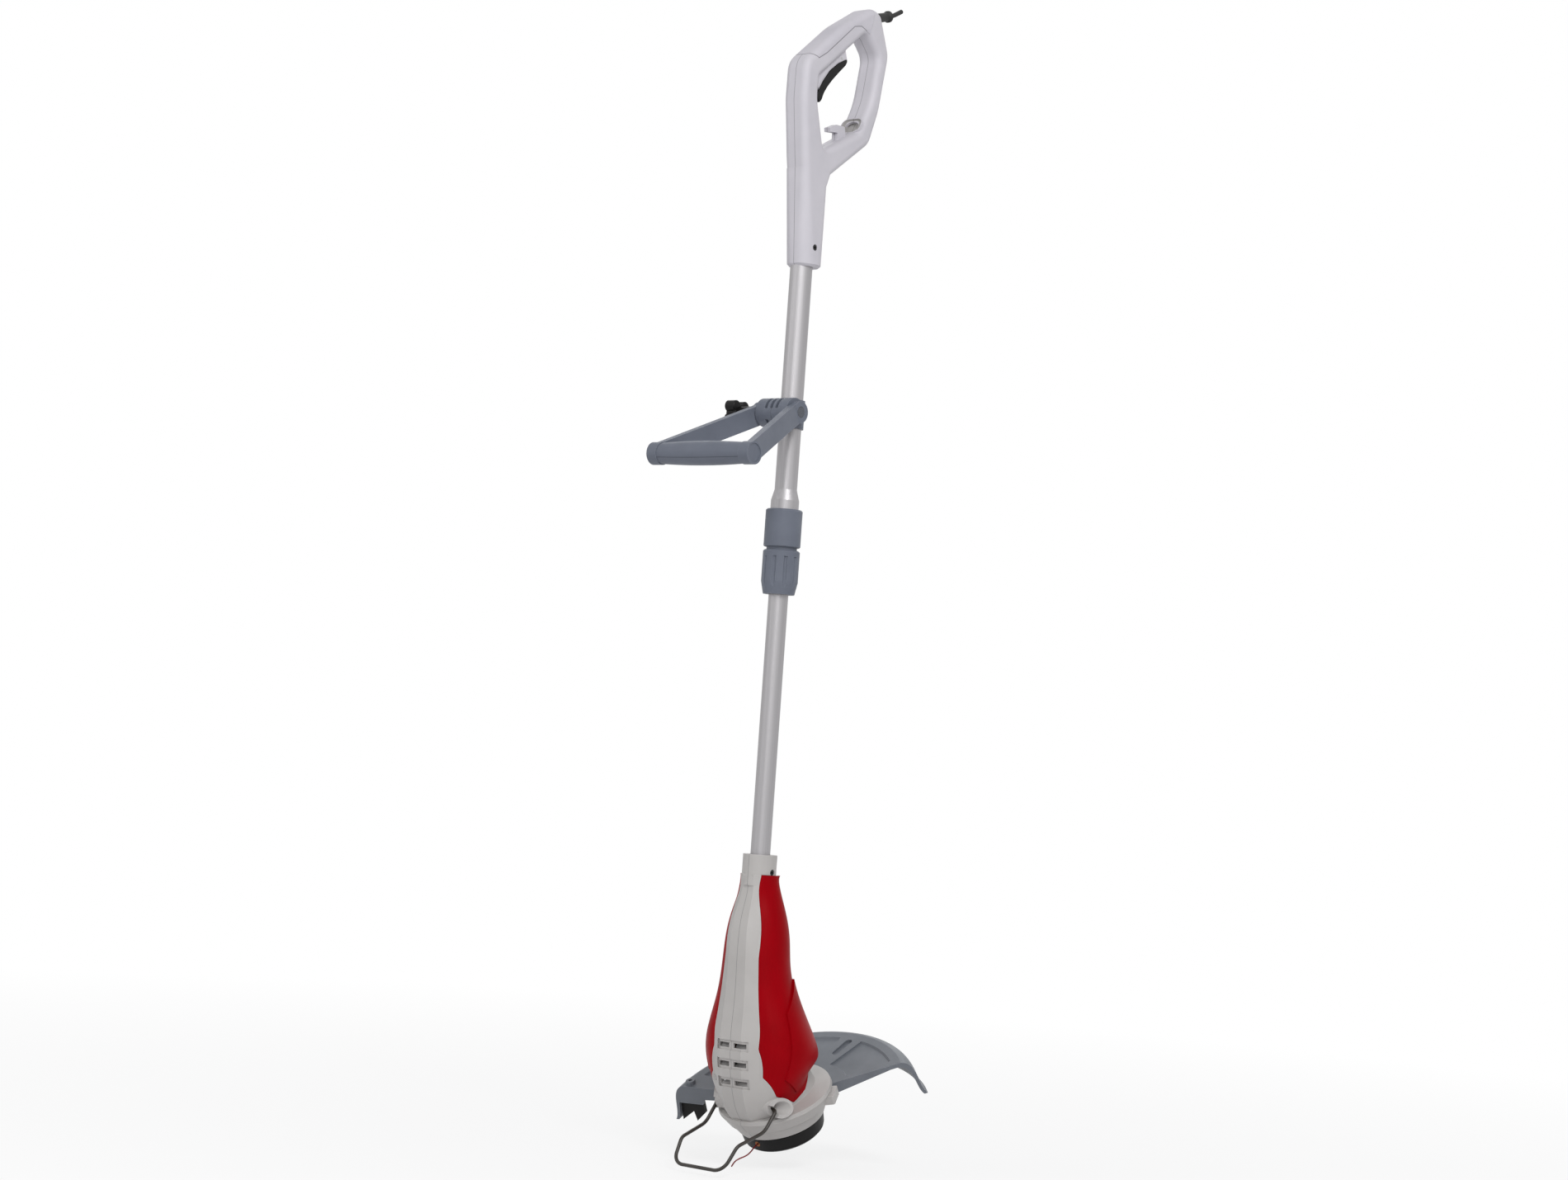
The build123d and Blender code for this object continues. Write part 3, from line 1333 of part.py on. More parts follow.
def plant_guard():
    half = [(wire_pin_x, 0, 0)] + [(x, forward, up) for x, forward, up, _ in wire_corners]
    points = half + [(-x, forward, up) for x, forward, up in reversed(half)]
    radii = [r for _, _, _, r in wire_corners]
    places = [wire_axis_at + Vector(x, -forward, up) for x, forward, up in points]
    with BuildPart() as wire:
        with BuildLine() as route:
            FilletPolyline(*places, radius=radii + radii[::-1])
        with BuildSketch(Plane(origin=places[0], z_dir=(1, 0, 0))):
            Circle(wire_od / 2)
        sweep(path=route.wires()[0])
    save(wire.part, "plant_guard")


# Free end of the trimming line from its eyelet, in the head's own x, rear and height
line_points = [
    (0, -47, 16.5), (0, -54, 16.3), (2, -62, 16), (1.5, -70, 15.5),
    (-4, -76.5, 15), (-6.5, -83, 14.5), (-4, -91, 14),
]


def trimming_line():
    places = [head.x_dir * x + head_rear * y + head_up * h for x, y, h in line_points]
    runs = [(b - a) for a, b in zip(places, places[1:])]
    radii = []
    for before, after in zip(runs, runs[1:]):
        turn = before.get_angle(after)
        radii.append(0.45 * min(before.length, after.length) / tan(radians(turn / 2)))
    print("trimming line radii", [round(r, 1) for r in radii])
    with BuildPart() as line:
        with BuildLine() as route:
            FilletPolyline(*places, radius=radii)
        with BuildSketch(Plane(origin=places[0], z_dir=runs[0])):
            Circle(line_od / 2)
        sweep(path=route.wires()[0])
    print("trimming line length", round(route.wires()[0].length, 1))
    save(line.part, "trimming_line")


rear_handle()
handle_inside()
tube_pieces()
assist_clamp()
assist_handle()
motor_housing()
motor_inside()
cutting_head()
head_skirt()
debris_guard()
plant_guard()
trimming_line()
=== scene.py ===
from math import cos, radians, sin

import bmesh
import bpy
from mathutils import Matrix, Vector


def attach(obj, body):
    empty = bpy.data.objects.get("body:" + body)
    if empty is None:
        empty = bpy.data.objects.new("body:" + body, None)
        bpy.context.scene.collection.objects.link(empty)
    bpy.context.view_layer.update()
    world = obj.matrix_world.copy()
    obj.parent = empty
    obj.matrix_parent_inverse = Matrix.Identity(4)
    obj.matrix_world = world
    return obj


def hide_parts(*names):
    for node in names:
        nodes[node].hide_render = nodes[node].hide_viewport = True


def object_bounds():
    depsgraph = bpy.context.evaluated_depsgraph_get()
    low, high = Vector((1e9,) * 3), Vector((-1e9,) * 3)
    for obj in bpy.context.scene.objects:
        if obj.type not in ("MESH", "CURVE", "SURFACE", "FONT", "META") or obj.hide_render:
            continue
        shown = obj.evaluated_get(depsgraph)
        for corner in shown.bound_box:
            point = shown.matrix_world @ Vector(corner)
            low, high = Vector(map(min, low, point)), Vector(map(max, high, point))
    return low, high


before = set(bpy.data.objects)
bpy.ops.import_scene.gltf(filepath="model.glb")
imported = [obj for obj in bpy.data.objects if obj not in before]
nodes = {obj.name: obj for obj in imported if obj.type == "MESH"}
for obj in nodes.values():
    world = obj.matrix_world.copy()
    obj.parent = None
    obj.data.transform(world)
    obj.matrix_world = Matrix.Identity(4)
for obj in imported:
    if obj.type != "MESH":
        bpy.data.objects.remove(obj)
cadLow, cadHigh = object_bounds()
mmPerMetre = 1000.0
sideways = Vector((1, 0, 0))

# Camera at the photograph's viewing angle: degrees, metres, and the sensor in millimetres
view = {
    "azimuth": 39.0,
    "elevation": -3.0,
    "roll": 4.0,
    "place": (2.14124, -2.71507, 0.42746),
    "focalPixels": 3715.8,
    "imageWidth": 1900.0,
    "sensor": 36.0,
    "reach": 50.0,
}


def addCamera():
    a, e, roll = (radians(view[key]) for key in ("azimuth", "elevation", "roll"))
    back = Vector((sin(a) * cos(e), -cos(a) * cos(e), sin(e)))
    level = Vector((cos(a), sin(a), 0.0))
    rise = back.cross(level)
    right = level * cos(roll) + rise * sin(roll)
    up = rise * cos(roll) - level * sin(roll)
    data = bpy.data.cameras.new("camera")
    data.sensor_width = view["sensor"]
    data.lens = view["focalPixels"] / view["imageWidth"] * view["sensor"]
    data.clip_end = view["reach"]
    camera = bpy.data.objects.new("camera", data)
    turn = Matrix((right, up, back)).transposed().to_4x4()
    camera.matrix_world = Matrix.Translation(Vector(view["place"])) @ turn
    bpy.context.collection.objects.link(camera)
    bpy.context.scene.camera = camera


addCamera()
print("stage: camera")

colorSocket = "NodeSocketColor"
floatSocket = "NodeSocketFloat"
vectorSocket = "NodeSocketVector"
surfaceOutputs = [("Color", colorSocket), ("Roughness", floatSocket), ("Normal", vectorSocket)]
colorOutput = [("Color", colorSocket)]
noiseSpread = {"From Min": 0.3, "From Max": 0.7}  # where most of a noise's values lie
edgeTurn = {"From Min": 0.99, "From Max": 0.86}  # cosines between a smooth and a sharp turn


def newGroup(name, inputs, outputs):
    group = bpy.data.node_groups.new(name, "ShaderNodeTree")
    for label, kind, value in inputs:
        socket = group.interface.new_socket(label, in_out="INPUT", socket_type=kind)
        socket.default_value = value
    for label, kind in outputs:
        group.interface.new_socket(label, in_out="OUTPUT", socket_type=kind)
    start = group.nodes.new("NodeGroupInput")
    end = group.nodes.new("NodeGroupOutput")
    return group, start, end


def addNode(tree, kind, settings=None, values=None):
    node = tree.nodes.new(kind)
    for key, value in (settings or {}).items():
        setattr(node, key, value)
    for key, value in (values or {}).items():
        node.inputs[key].default_value = value
    return node


def addMath(tree, operation, values=None):
    return addNode(tree, "ShaderNodeMath", {"operation": operation}, values)


def addVectorMath(tree, operation, values=None):
    return addNode(tree, "ShaderNodeVectorMath", {"operation": operation}, values)


def mixColors(tree, factor, first, second, target):
    tint = addNode(tree, "ShaderNodeMix", {"data_type": "RGBA"})
    tree.links.new(factor, tint.inputs["Factor"])
    tree.links.new(first, tint.inputs["A"])
    tree.links.new(second, tint.inputs["B"])
    tree.links.new(tint.outputs["Result"], target)


def finishSurface(group, start, end, tone, gloss, height, strength):
    # Colour from Light to Deep, roughness from Smooth to Rough, and a bump
    rough = addNode(group, "ShaderNodeMapRange")
    bump = addNode(group, "ShaderNodeBump", values={"Strength": strength})
    link = group.links.new
    mixColors(group, tone, start.outputs["Light"], start.outputs["Deep"], end.inputs["Color"])
    link(gloss, rough.inputs["Value"])
    link(start.outputs["Smooth"], rough.inputs["To Min"])
    link(start.outputs["Rough"], rough.inputs["To Max"])
    link(rough.outputs["Result"], end.inputs["Roughness"])
    link(height, bump.inputs["Height"])
    link(start.outputs["Height"], bump.inputs["Distance"])
    link(bump.outputs["Normal"], end.inputs["Normal"])


def makeGrain():
    # Moulded grain: slow colour drift, fine pimples, and a roughness that follows both
    group, start, end = newGroup(
        "mouldedGrain",
        [
            ("Light", colorSocket, (0.6, 0.6, 0.6, 1)),
            ("Deep", colorSocket, (0.5, 0.5, 0.5, 1)),
            ("Grain", floatSocket, 1400.0),
            ("Drift", floatSocket, 22.0),
            ("Height", floatSocket, 0.00004),
            ("Smooth", floatSocket, 0.38),
            ("Rough", floatSocket, 0.55),
        ],
        surfaceOutputs,
    )
    place = addNode(group, "ShaderNodeTexCoord")
    drift = addNode(group, "ShaderNodeTexNoise", values={"Detail": 4.0, "Roughness": 0.6})
    fine = addNode(group, "ShaderNodeTexNoise", values={"Detail": 3.0, "Roughness": 0.5})
    spread = addNode(group, "ShaderNodeMapRange", values=noiseSpread)
    both = addMath(group, "ADD")
    half = addMath(group, "MULTIPLY", {1: 0.5})
    link = group.links.new
    link(place.outputs["Object"], drift.inputs["Vector"])
    link(place.outputs["Object"], fine.inputs["Vector"])
    link(start.outputs["Drift"], drift.inputs["Scale"])
    link(start.outputs["Grain"], fine.inputs["Scale"])
    link(drift.outputs["Fac"], spread.inputs["Value"])
    link(spread.outputs["Result"], both.inputs[0])
    link(fine.outputs["Fac"], both.inputs[1])
    link(both.outputs["Value"], half.inputs[0])
    finishSurface(group, start, end, tone=spread.outputs["Result"], gloss=half.outputs["Value"],
                  height=fine.outputs["Fac"], strength=0.6)
    return group


def makeDrawn():
    # Drawn metal: long streaks down Z with small differences in gloss
    group, start, end = newGroup(
        "drawnMetal",
        [
            ("Light", colorSocket, (0.7, 0.7, 0.7, 1)),
            ("Deep", colorSocket, (0.5, 0.5, 0.5, 1)),
            ("Around", floatSocket, 900.0),
            ("Along", floatSocket, 6.0),
            ("Height", floatSocket, 0.00002),
            ("Smooth", floatSocket, 0.28),
            ("Rough", floatSocket, 0.42),
        ],
        surfaceOutputs,
    )
    place = addNode(group, "ShaderNodeTexCoord")
    parts = addNode(group, "ShaderNodeSeparateXYZ")
    stretch = addNode(group, "ShaderNodeCombineXYZ")
    streak = addNode(group, "ShaderNodeTexNoise",
                     values={"Scale": 1.0, "Detail": 5.0, "Roughness": 0.65})
    spread = addNode(group, "ShaderNodeMapRange", values=noiseSpread)
    link = group.links.new
    link(place.outputs["Object"], parts.inputs["Vector"])
    for axis, pitch in (("X", "Around"), ("Y", "Around"), ("Z", "Along")):
        scaler = addMath(group, "MULTIPLY")
        link(parts.outputs[axis], scaler.inputs[0])
        link(start.outputs[pitch], scaler.inputs[1])
        link(scaler.outputs["Value"], stretch.inputs[axis])
    link(stretch.outputs["Vector"], streak.inputs["Vector"])
    link(streak.outputs["Fac"], spread.inputs["Value"])
    finishSurface(group, start, end, tone=spread.outputs["Result"], gloss=spread.outputs["Result"],
                  height=streak.outputs["Fac"], strength=0.4)
    return group


def makeSeam():
    # Parting line of two mouldings that meet on a plane, as a fine dark line
    group, start, end = newGroup(
        "partingLine",
        [
            ("Color", colorSocket, (0.6, 0.6, 0.6, 1)),
            ("Line", colorSocket, (0.2, 0.2, 0.2, 1)),
            ("Across", vectorSocket, (1.0, 0.0, 0.0)),
            ("Offset", floatSocket, 0.0),
            ("Width", floatSocket, 0.00035),
        ],
        colorOutput,
    )
    place = addNode(group, "ShaderNodeTexCoord")
    along = addVectorMath(group, "DOT_PRODUCT")
    away = addMath(group, "SUBTRACT")
    size = addMath(group, "ABSOLUTE")
    near = addMath(group, "LESS_THAN")
    link = group.links.new
    link(place.outputs["Object"], along.inputs[0])
    link(start.outputs["Across"], along.inputs[1])
    link(along.outputs["Value"], away.inputs[0])
    link(start.outputs["Offset"], away.inputs[1])
    link(away.outputs["Value"], size.inputs[0])
    link(size.outputs["Value"], near.inputs[0])
    link(start.outputs["Width"], near.inputs[1])
    mixColors(group, near.outputs["Value"], start.outputs["Color"], start.outputs["Line"],
              end.inputs["Color"])
    return group


def makeEdgeHighlight():
    # Painted edge highlight: a paler colour where the surface turns sharply
    group, start, end = newGroup(
        "paintedEdgeHighlight",
        [
            ("Color", colorSocket, (0.6, 0.6, 0.6, 1)),
            ("Highlight", colorSocket, (0.7, 0.7, 0.7, 1)),
            ("Radius", floatSocket, 0.0009),
            ("Amount", floatSocket, 0.45),
        ],
        colorOutput,
    )
    soft = addNode(group, "ShaderNodeBevel", {"samples": 4})
    flat = addNode(group, "ShaderNodeNewGeometry")
    alike = addVectorMath(group, "DOT_PRODUCT")
    edge = addNode(group, "ShaderNodeMapRange", values=edgeTurn)
    share = addMath(group, "MULTIPLY")
    link = group.links.new
    link(start.outputs["Radius"], soft.inputs["Radius"])
    link(soft.outputs["Normal"], alike.inputs[0])
    link(flat.outputs["Normal"], alike.inputs[1])
    link(alike.outputs["Value"], edge.inputs["Value"])
    link(edge.outputs["Result"], share.inputs[0])
    link(start.outputs["Amount"], share.inputs[1])
    mixColors(group, share.outputs["Value"], start.outputs["Color"], start.outputs["Highlight"],
              end.inputs["Color"])
    return group


# Joint between the grip inlay and the handle, seen from the side: y and z in metres
inlayJoint = {
    "points": [(-0.106, 1.2025), (-0.094, 1.1985), (-0.080, 1.2075),
               (-0.034, 1.2475), (-0.022, 1.2505), (-0.011, 1.2475)],
    "width": 0.00055,
}


def makeJoint():
    # A fine dark line along the inlay's outline, from the distance to its straight runs
    group, start, end = newGroup(
        "inlayJoint",
        [
            ("Color", colorSocket, (0.6, 0.6, 0.6, 1)),
            ("Line", colorSocket, (0.3, 0.3, 0.3, 1)),
        ],
        colorOutput,
    )
    link = group.links.new
    place = addNode(group, "ShaderNodeTexCoord")
    profile = addVectorMath(group, "MULTIPLY", {1: (0, 1, 1)})
    link(place.outputs["Object"], profile.inputs[0])
    nearest = None
    for (ay, az), (by, bz) in zip(inlayJoint["points"], inlayJoint["points"][1:]):
        run = Vector((0, by - ay, bz - az))
        away = addVectorMath(group, "SUBTRACT", {1: (0, ay, az)})
        along = addVectorMath(group, "DOT_PRODUCT", {1: run / run.length_squared})
        held = addNode(group, "ShaderNodeClamp")
        foot = addVectorMath(group, "SCALE", {0: run})
        gap = addVectorMath(group, "DISTANCE")
        link(profile.outputs["Vector"], away.inputs[0])
        link(away.outputs["Vector"], along.inputs[0])
        link(along.outputs["Value"], held.inputs["Value"])
        link(held.outputs["Result"], foot.inputs["Scale"])
        link(away.outputs["Vector"], gap.inputs[0])
        link(foot.outputs["Vector"], gap.inputs[1])
        if nearest is None:
            nearest = gap
        else:
            lower = addMath(group, "MINIMUM")
            link(nearest.outputs["Value"], lower.inputs[0])
            link(gap.outputs["Value"], lower.inputs[1])
            nearest = lower
    near = addMath(group, "LESS_THAN", {1: inlayJoint["width"]})
    link(nearest.outputs["Value"], near.inputs[0])
    mixColors(group, near.outputs["Value"], start.outputs["Color"], start.outputs["Line"],
              end.inputs["Color"])
    return group


grainGroup = makeGrain()
drawnGroup = makeDrawn()
seamGroup = makeSeam()
edgeHighlightGroup = makeEdgeHighlight()
jointGroup = makeJoint()
# Effects in the order in which they are laid on, each with the socket that takes its colour
# The "edge" effect paints a highlight along sharp edges
effects = [("edge", edgeHighlightGroup, "Highlight"), ("seam", seamGroup, "Line"), ("joint", jointGroup, "Line")]


def rgba(color):
    return (*color, 1.0)


def makeMaterial(name, look):
    material = bpy.data.materials.new(name)
    material.use_nodes = True
    tree = material.node_tree
    shader = tree.nodes["Principled BSDF"]
    surface = addNode(tree, "ShaderNodeGroup", {"node_tree": look.get("group", grainGroup)})
    for key, value in look["inputs"].items():
        surface.inputs[key].default_value = rgba(value) if isinstance(value, tuple) else value
    color = surface.outputs["Color"]
    for key, group, socket in effects:
        if key in look:
            effect = addNode(tree, "ShaderNodeGroup", {"node_tree": group})
            effect.inputs[socket].default_value = rgba(look[key])
            for label, value in look.get(key + "Inputs", {}).items():
                effect.inputs[label].default_value = value
            tree.links.new(color, effect.inputs["Color"])
            color = effect.outputs["Color"]
    tree.links.new(color, shader.inputs["Base Color"])
    tree.links.new(surface.outputs["Roughness"], shader.inputs["Roughness"])
    tree.links.new(surface.outputs["Normal"], shader.inputs["Normal"])
    for key, value in look.get("shader", {}).items():
        shader.inputs[key].default_value = value
    return material


def dress(material, names):
    for name in names:
        slots = nodes[name].data.materials
        slots.clear()
        slots.append(material)


# Each "edge" colour below is a painted highlight along the sharp edges of that material
handleLook = {
    "inputs": {"Light": (0.585, 0.567, 0.612), "Deep": (0.545, 0.53, 0.575),
               "Grain": 1500.0, "Smooth": 0.42, "Rough": 0.6},
    "seam": (0.27, 0.26, 0.29),
    "joint": (0.3, 0.29, 0.32),
    "edge": (0.66, 0.64, 0.68),
}
housingLook = {
    "inputs": {"Light": (0.485, 0.468, 0.456), "Deep": (0.447, 0.431, 0.42),
               "Grain": 1500.0, "Smooth": 0.4, "Rough": 0.58},
    "seam": (0.27, 0.26, 0.26),
    "edge": (0.64, 0.62, 0.61),
}
inlayLook = {
    "inputs": {"Light": (0.565, 0.547, 0.595), "Deep": (0.52, 0.505, 0.555),
               "Grain": 1900.0, "Height": 0.00006, "Smooth": 0.52, "Rough": 0.7},
    "joint": (0.3, 0.29, 0.32),
}
redLook = {
    "inputs": {"Light": (0.335, 0.0, 0.004), "Deep": (0.28, 0.0, 0.003),
               "Grain": 1300.0, "Height": 0.00003, "Smooth": 0.34, "Rough": 0.5},
    "shader": {"Specular IOR Level": 0.05},
}
greyLook = {
    "inputs": {"Light": (0.152, 0.168, 0.208), "Deep": (0.13, 0.144, 0.18),
               "Grain": 1600.0, "Smooth": 0.42, "Rough": 0.58},
    "edge": (0.3, 0.32, 0.37),
    "shader": {"Specular IOR Level": 0.25},
}
gripLook = {
    **greyLook,
    "seam": (0.06, 0.066, 0.08),
    "seamInputs": {"Across": (0.0, -0.4352, 0.9003), "Offset": 0.76415, "Width": 0.0003},
}
guardLook = {
    "inputs": {"Light": (0.17, 0.185, 0.21), "Deep": (0.145, 0.158, 0.18),
               "Grain": 1100.0, "Height": 0.00006, "Smooth": 0.38, "Rough": 0.56},
    "edge": (0.29, 0.3, 0.33),
    "shader": {"Specular IOR Level": 0.3},
}
blackLook = {
    "inputs": {"Light": (0.0095, 0.009, 0.0095), "Deep": (0.006, 0.0058, 0.006),
               "Grain": 1500.0, "Smooth": 0.36, "Rough": 0.55},
    "shader": {"Specular IOR Level": 0.16},
}
rubberLook = {
    "inputs": {"Light": (0.016, 0.016, 0.016), "Deep": (0.01, 0.01, 0.01),
               "Grain": 2200.0, "Smooth": 0.55, "Rough": 0.75},
}
tubeLook = {
    "group": drawnGroup,
    "inputs": {"Light": (0.4, 0.39, 0.402), "Deep": (0.36, 0.351, 0.361),
               "Height": 0.000004, "Smooth": 0.44, "Rough": 0.52},
    "shader": {"Metallic": 1.0},
}
steelLook = {
    "group": drawnGroup,
    "inputs": {"Light": (0.56, 0.56, 0.56), "Deep": (0.42, 0.42, 0.43),
               "Around": 1400.0, "Along": 300.0, "Smooth": 0.25, "Rough": 0.4},
    "shader": {"Metallic": 1.0},
}
blackScrewLook = {
    "group": drawnGroup,
    "inputs": {"Light": (0.06, 0.06, 0.06), "Deep": (0.035, 0.035, 0.035),
               "Around": 1400.0, "Along": 300.0, "Smooth": 0.35, "Rough": 0.5},
    "shader": {"Metallic": 1.0},
}
boltLook = {
    "group": drawnGroup,
    "inputs": {"Light": (0.15, 0.16, 0.18), "Deep": (0.085, 0.09, 0.105),
               "Around": 1400.0, "Along": 1400.0, "Smooth": 0.4, "Rough": 0.55},
    "shader": {"Metallic": 1.0},
}
wireLook = {
    "inputs": {"Light": (0.03, 0.024, 0.019), "Deep": (0.018, 0.014, 0.011),
               "Grain": 900.0, "Drift": 60.0, "Smooth": 0.3, "Rough": 0.5},
}
laminationLook = {
    "group": drawnGroup,
    "inputs": {"Light": (0.3, 0.3, 0.31), "Deep": (0.2, 0.2, 0.21),
               "Around": 60.0, "Along": 2500.0, "Smooth": 0.35, "Rough": 0.55},
    "shader": {"Metallic": 1.0},
}
copperLook = {
    "group": drawnGroup,
    "inputs": {"Light": (0.62, 0.28, 0.12), "Deep": (0.42, 0.17, 0.07),
               "Around": 700.0, "Along": 700.0},
    "shader": {"Metallic": 1.0},
}
eyeletLook = {
    "group": drawnGroup,
    "inputs": {"Light": (0.3, 0.13, 0.06), "Deep": (0.17, 0.07, 0.03),
               "Around": 900.0, "Along": 900.0, "Smooth": 0.4, "Rough": 0.55},
    "shader": {"Metallic": 1.0},
}
carbonLook = {
    "inputs": {"Light": (0.03, 0.03, 0.032), "Deep": (0.018, 0.018, 0.02),
               "Grain": 2600.0, "Smooth": 0.5, "Rough": 0.7},
}
# Painted shade: a darker grey standing in for the shade inside the vents and the cord eye's pocket
paintedShadeLook = {
    "inputs": {"Light": (0.4, 0.385, 0.38), "Deep": (0.33, 0.32, 0.315),
               "Grain": 1500.0, "Smooth": 0.5, "Rough": 0.65},
    "seam": (0.16, 0.155, 0.15),
}
lineLook = {
    "inputs": {"Light": (0.24, 0.004, 0.008), "Deep": (0.15, 0.003, 0.006),
               "Grain": 2600.0, "Drift": 90.0, "Smooth": 0.28, "Rough": 0.42},
}

# Four finishes are also used on the pieces made further down, among them the painted shade grey of
# the vent blades and the cord eye's pocket
handleMaterial = makeMaterial("handlePlastic", handleLook)
blackMaterial = makeMaterial("blackPlastic", blackLook)
paintedShadeMaterial = makeMaterial("paintedShadePlastic", paintedShadeLook)
lineMaterial = makeMaterial("nylonLine", lineLook)

dress(handleMaterial, ["handle_left_shell", "handle_right_shell"])
dress(makeMaterial("housingPlastic", housingLook),
      ["motor_housing_left", "motor_housing_right", "head_skirt"])
dress(makeMaterial("inlayPlastic", inlayLook), ["grip_inlay"])
dress(makeMaterial("redPlastic", redLook), ["side_cover_left", "side_cover_right"])
dress(makeMaterial("greyPlastic", greyLook),
      ["assist_clamp_left", "assist_clamp_right", "assist_arm_left", "assist_arm_right",
       "clamp_nut", "clamp_sleeve"])
dress(makeMaterial("gripPlastic", gripLook), ["assist_grip"])
dress(makeMaterial("guardPlastic", guardLook), ["debris_guard"])
dress(blackMaterial,
      ["trigger", "wing_knob", "spool_carrier", "spool_cap", "tap_button", "line_spool",
       "cutter_holder", "switch_block", "brush_holders", "cooling_fan", "guide_bush", "collet"])
dress(makeMaterial("blackRubber", rubberLook),
      ["strain_relief", "supply_cord", "motor_lead", "handle_lead"])
dress(makeMaterial("tubeAluminium", tubeLook), ["upper_tube", "lower_tube"])
dress(makeMaterial("platedSteel", steelLook),
      ["handle_screws", "trigger_pin", "housing_screws", "guard_screws", "cutter_screw",
       "motor_shaft", "upper_bearing", "lower_bearing", "tap_spring", "trigger_spring"])
dress(makeMaterial("blackScrew", blackScrewLook), ["socket_bolt", "collar_bolt", "cutter_blade"])
dress(makeMaterial("assistBolt", boltLook), ["assist_bolt"])
dress(makeMaterial("coatedWire", wireLook), ["plant_guard"])
dress(makeMaterial("laminations", laminationLook), ["stator", "armature"])
dress(makeMaterial("copperWire", copperLook), ["field_coils", "commutator"])
dress(makeMaterial("eyeletMetal", eyeletLook), ["line_eyelet"])
dress(makeMaterial("pressedCarbon", carbonLook), ["carbon_brushes"])
dress(lineMaterial, ["wound_line", "trimming_line"])
print("stage: materials")


def bevel(shape, geom, offset, segments, affect="EDGES"):
    bmesh.ops.bevel(shape, geom=geom, offset=offset, segments=segments, profile=0.5,
                    affect=affect, material=-1)


def vertsOf(made):
    return [item for item in made["geom"] if isinstance(item, bmesh.types.BMVert)]


def openEdges(shape):
    return [edge for edge in shape.edges if edge.is_boundary]


def addObject(name, shape, materials=()):
    mesh = bpy.data.meshes.new(name)
    shape.to_mesh(mesh)
    shape.free()
    for material in materials:
        mesh.materials.append(material)
    item = bpy.data.objects.new(name, mesh)
    bpy.context.collection.objects.link(item)
    return item


# Sloping blades behind the cooling vents, which hide the motor from straight sight
louvres = {
    "rows": [0.103, 0.0825, 0.062],
    "front": [-0.1042, -0.1022, -0.0992],
    "middle": 0.0102,
    "width": 0.0176,
    "depth": 0.008,
    "thick": 0.0012,
    "slope": 62.0,
    "behind": 0.0052,
    "drop": 0.0004,
    "bevel": 0.0002,
}


def addLouvres():
    shape = bmesh.new()
    size = (louvres["width"], louvres["depth"], louvres["thick"])
    slope = Matrix.Rotation(radians(louvres["slope"]), 3, "X")
    for z, y in zip(louvres["rows"], louvres["front"]):
        for side in (-1, 1):
            blade = bmesh.ops.create_cube(shape, size=1.0)["verts"]
            bmesh.ops.scale(shape, vec=size, verts=blade)
            bmesh.ops.rotate(shape, cent=(0, 0, 0), matrix=slope, verts=blade)
            shift = (side * louvres["middle"], y + louvres["behind"], z + louvres["drop"])
            bmesh.ops.translate(shape, vec=shift, verts=blade)
    bevel(shape, shape.edges[:], louvres["bevel"], segments=1)
    # The blades take the painted shade grey
    blades = addObject("vent_louvres", shape, [paintedShadeMaterial])
    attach(blades, "lower_unit")


addLouvres()
print("stage: louvres")

# Finger trigger: a channel whose cheeks run up both sides of its guide. Outlines and widths
# are in millimetres: the first number runs along the grip, the second square to it
trigger = {
    "corner": (0.0, -0.088, 1.1805),
    "slope": 39.9,
    "side": [(-15, -26.5), (-9.5, -26), (-1.5, -21.6), (8, -18.8), (20, -16.8), (36, -15.4),
             (51, -14.6), (55.5, -12.8), (57, -9.8), (52, -8.6), (41, -6.3), (23, -5.8),
             (5, -9.6), (-8, -14.4), (-14, -18)],
    "channel": [(-30, -16.6), (-6.4, -15.4), (58.4, -11.4), (66, -11), (66, 20), (-30, 20)],
    "width": 22.6,
    "channelWidth": 20.7,
    "round": 0.0007,
    "soften": 0.0016,
    "sameSide": 1e-6,  # an edge whose ends differ less than this in x lies on one cheek
}


def gripPlace(x, s, t):
    turn = radians(trigger["slope"])
    along = Vector((0, cos(turn), sin(turn)))
    square = Vector((0, -sin(turn), cos(turn)))
    return Vector(trigger["corner"]) + (sideways * x + along * s + square * t) / mmPerMetre


def sidePrism(outline, width, soften=0.0):
    shape = bmesh.new()
    shape.faces.new([shape.verts.new(gripPlace(-width / 2, s, t)) for s, t in outline])
    if soften:
        bevel(shape, shape.verts[:], soften, segments=4, affect="VERTICES")
    grown = bmesh.ops.extrude_face_region(shape, geom=shape.faces[:])
    bmesh.ops.translate(shape, vec=(width / mmPerMetre, 0, 0), verts=vertsOf(grown))
    bmesh.ops.recalc_face_normals(shape, faces=shape.faces[:])
    return shape


def onOneSide(edge):
    first, second = edge.verts
    return abs(first.co.x - second.co.x) < trigger["sameSide"]


def addTrigger():
    shape = sidePrism(trigger["side"], trigger["width"], trigger["soften"])
    rims = [edge for edge in shape.edges if onOneSide(edge)]
    bevel(shape, rims, trigger["round"], segments=3)
    piece = addObject("finger_trigger", shape)
    channel = addObject("channelCut", sidePrism(trigger["channel"], trigger["channelWidth"]))
    carve = piece.modifiers.new("channel", "BOOLEAN")
    carve.operation = "DIFFERENCE"
    carve.object = channel
    carve.solver = "EXACT"
    finished = piece.evaluated_get(bpy.context.evaluated_depsgraph_get())
    carved = bpy.data.meshes.new_from_object(finished)
    piece.modifiers.clear()
    piece.data = carved
    bpy.data.objects.remove(channel)
    carved.materials.clear()
    carved.materials.append(blackMaterial)
    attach(piece, "trigger")
    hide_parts("trigger")


addTrigger()
print("stage: trigger")

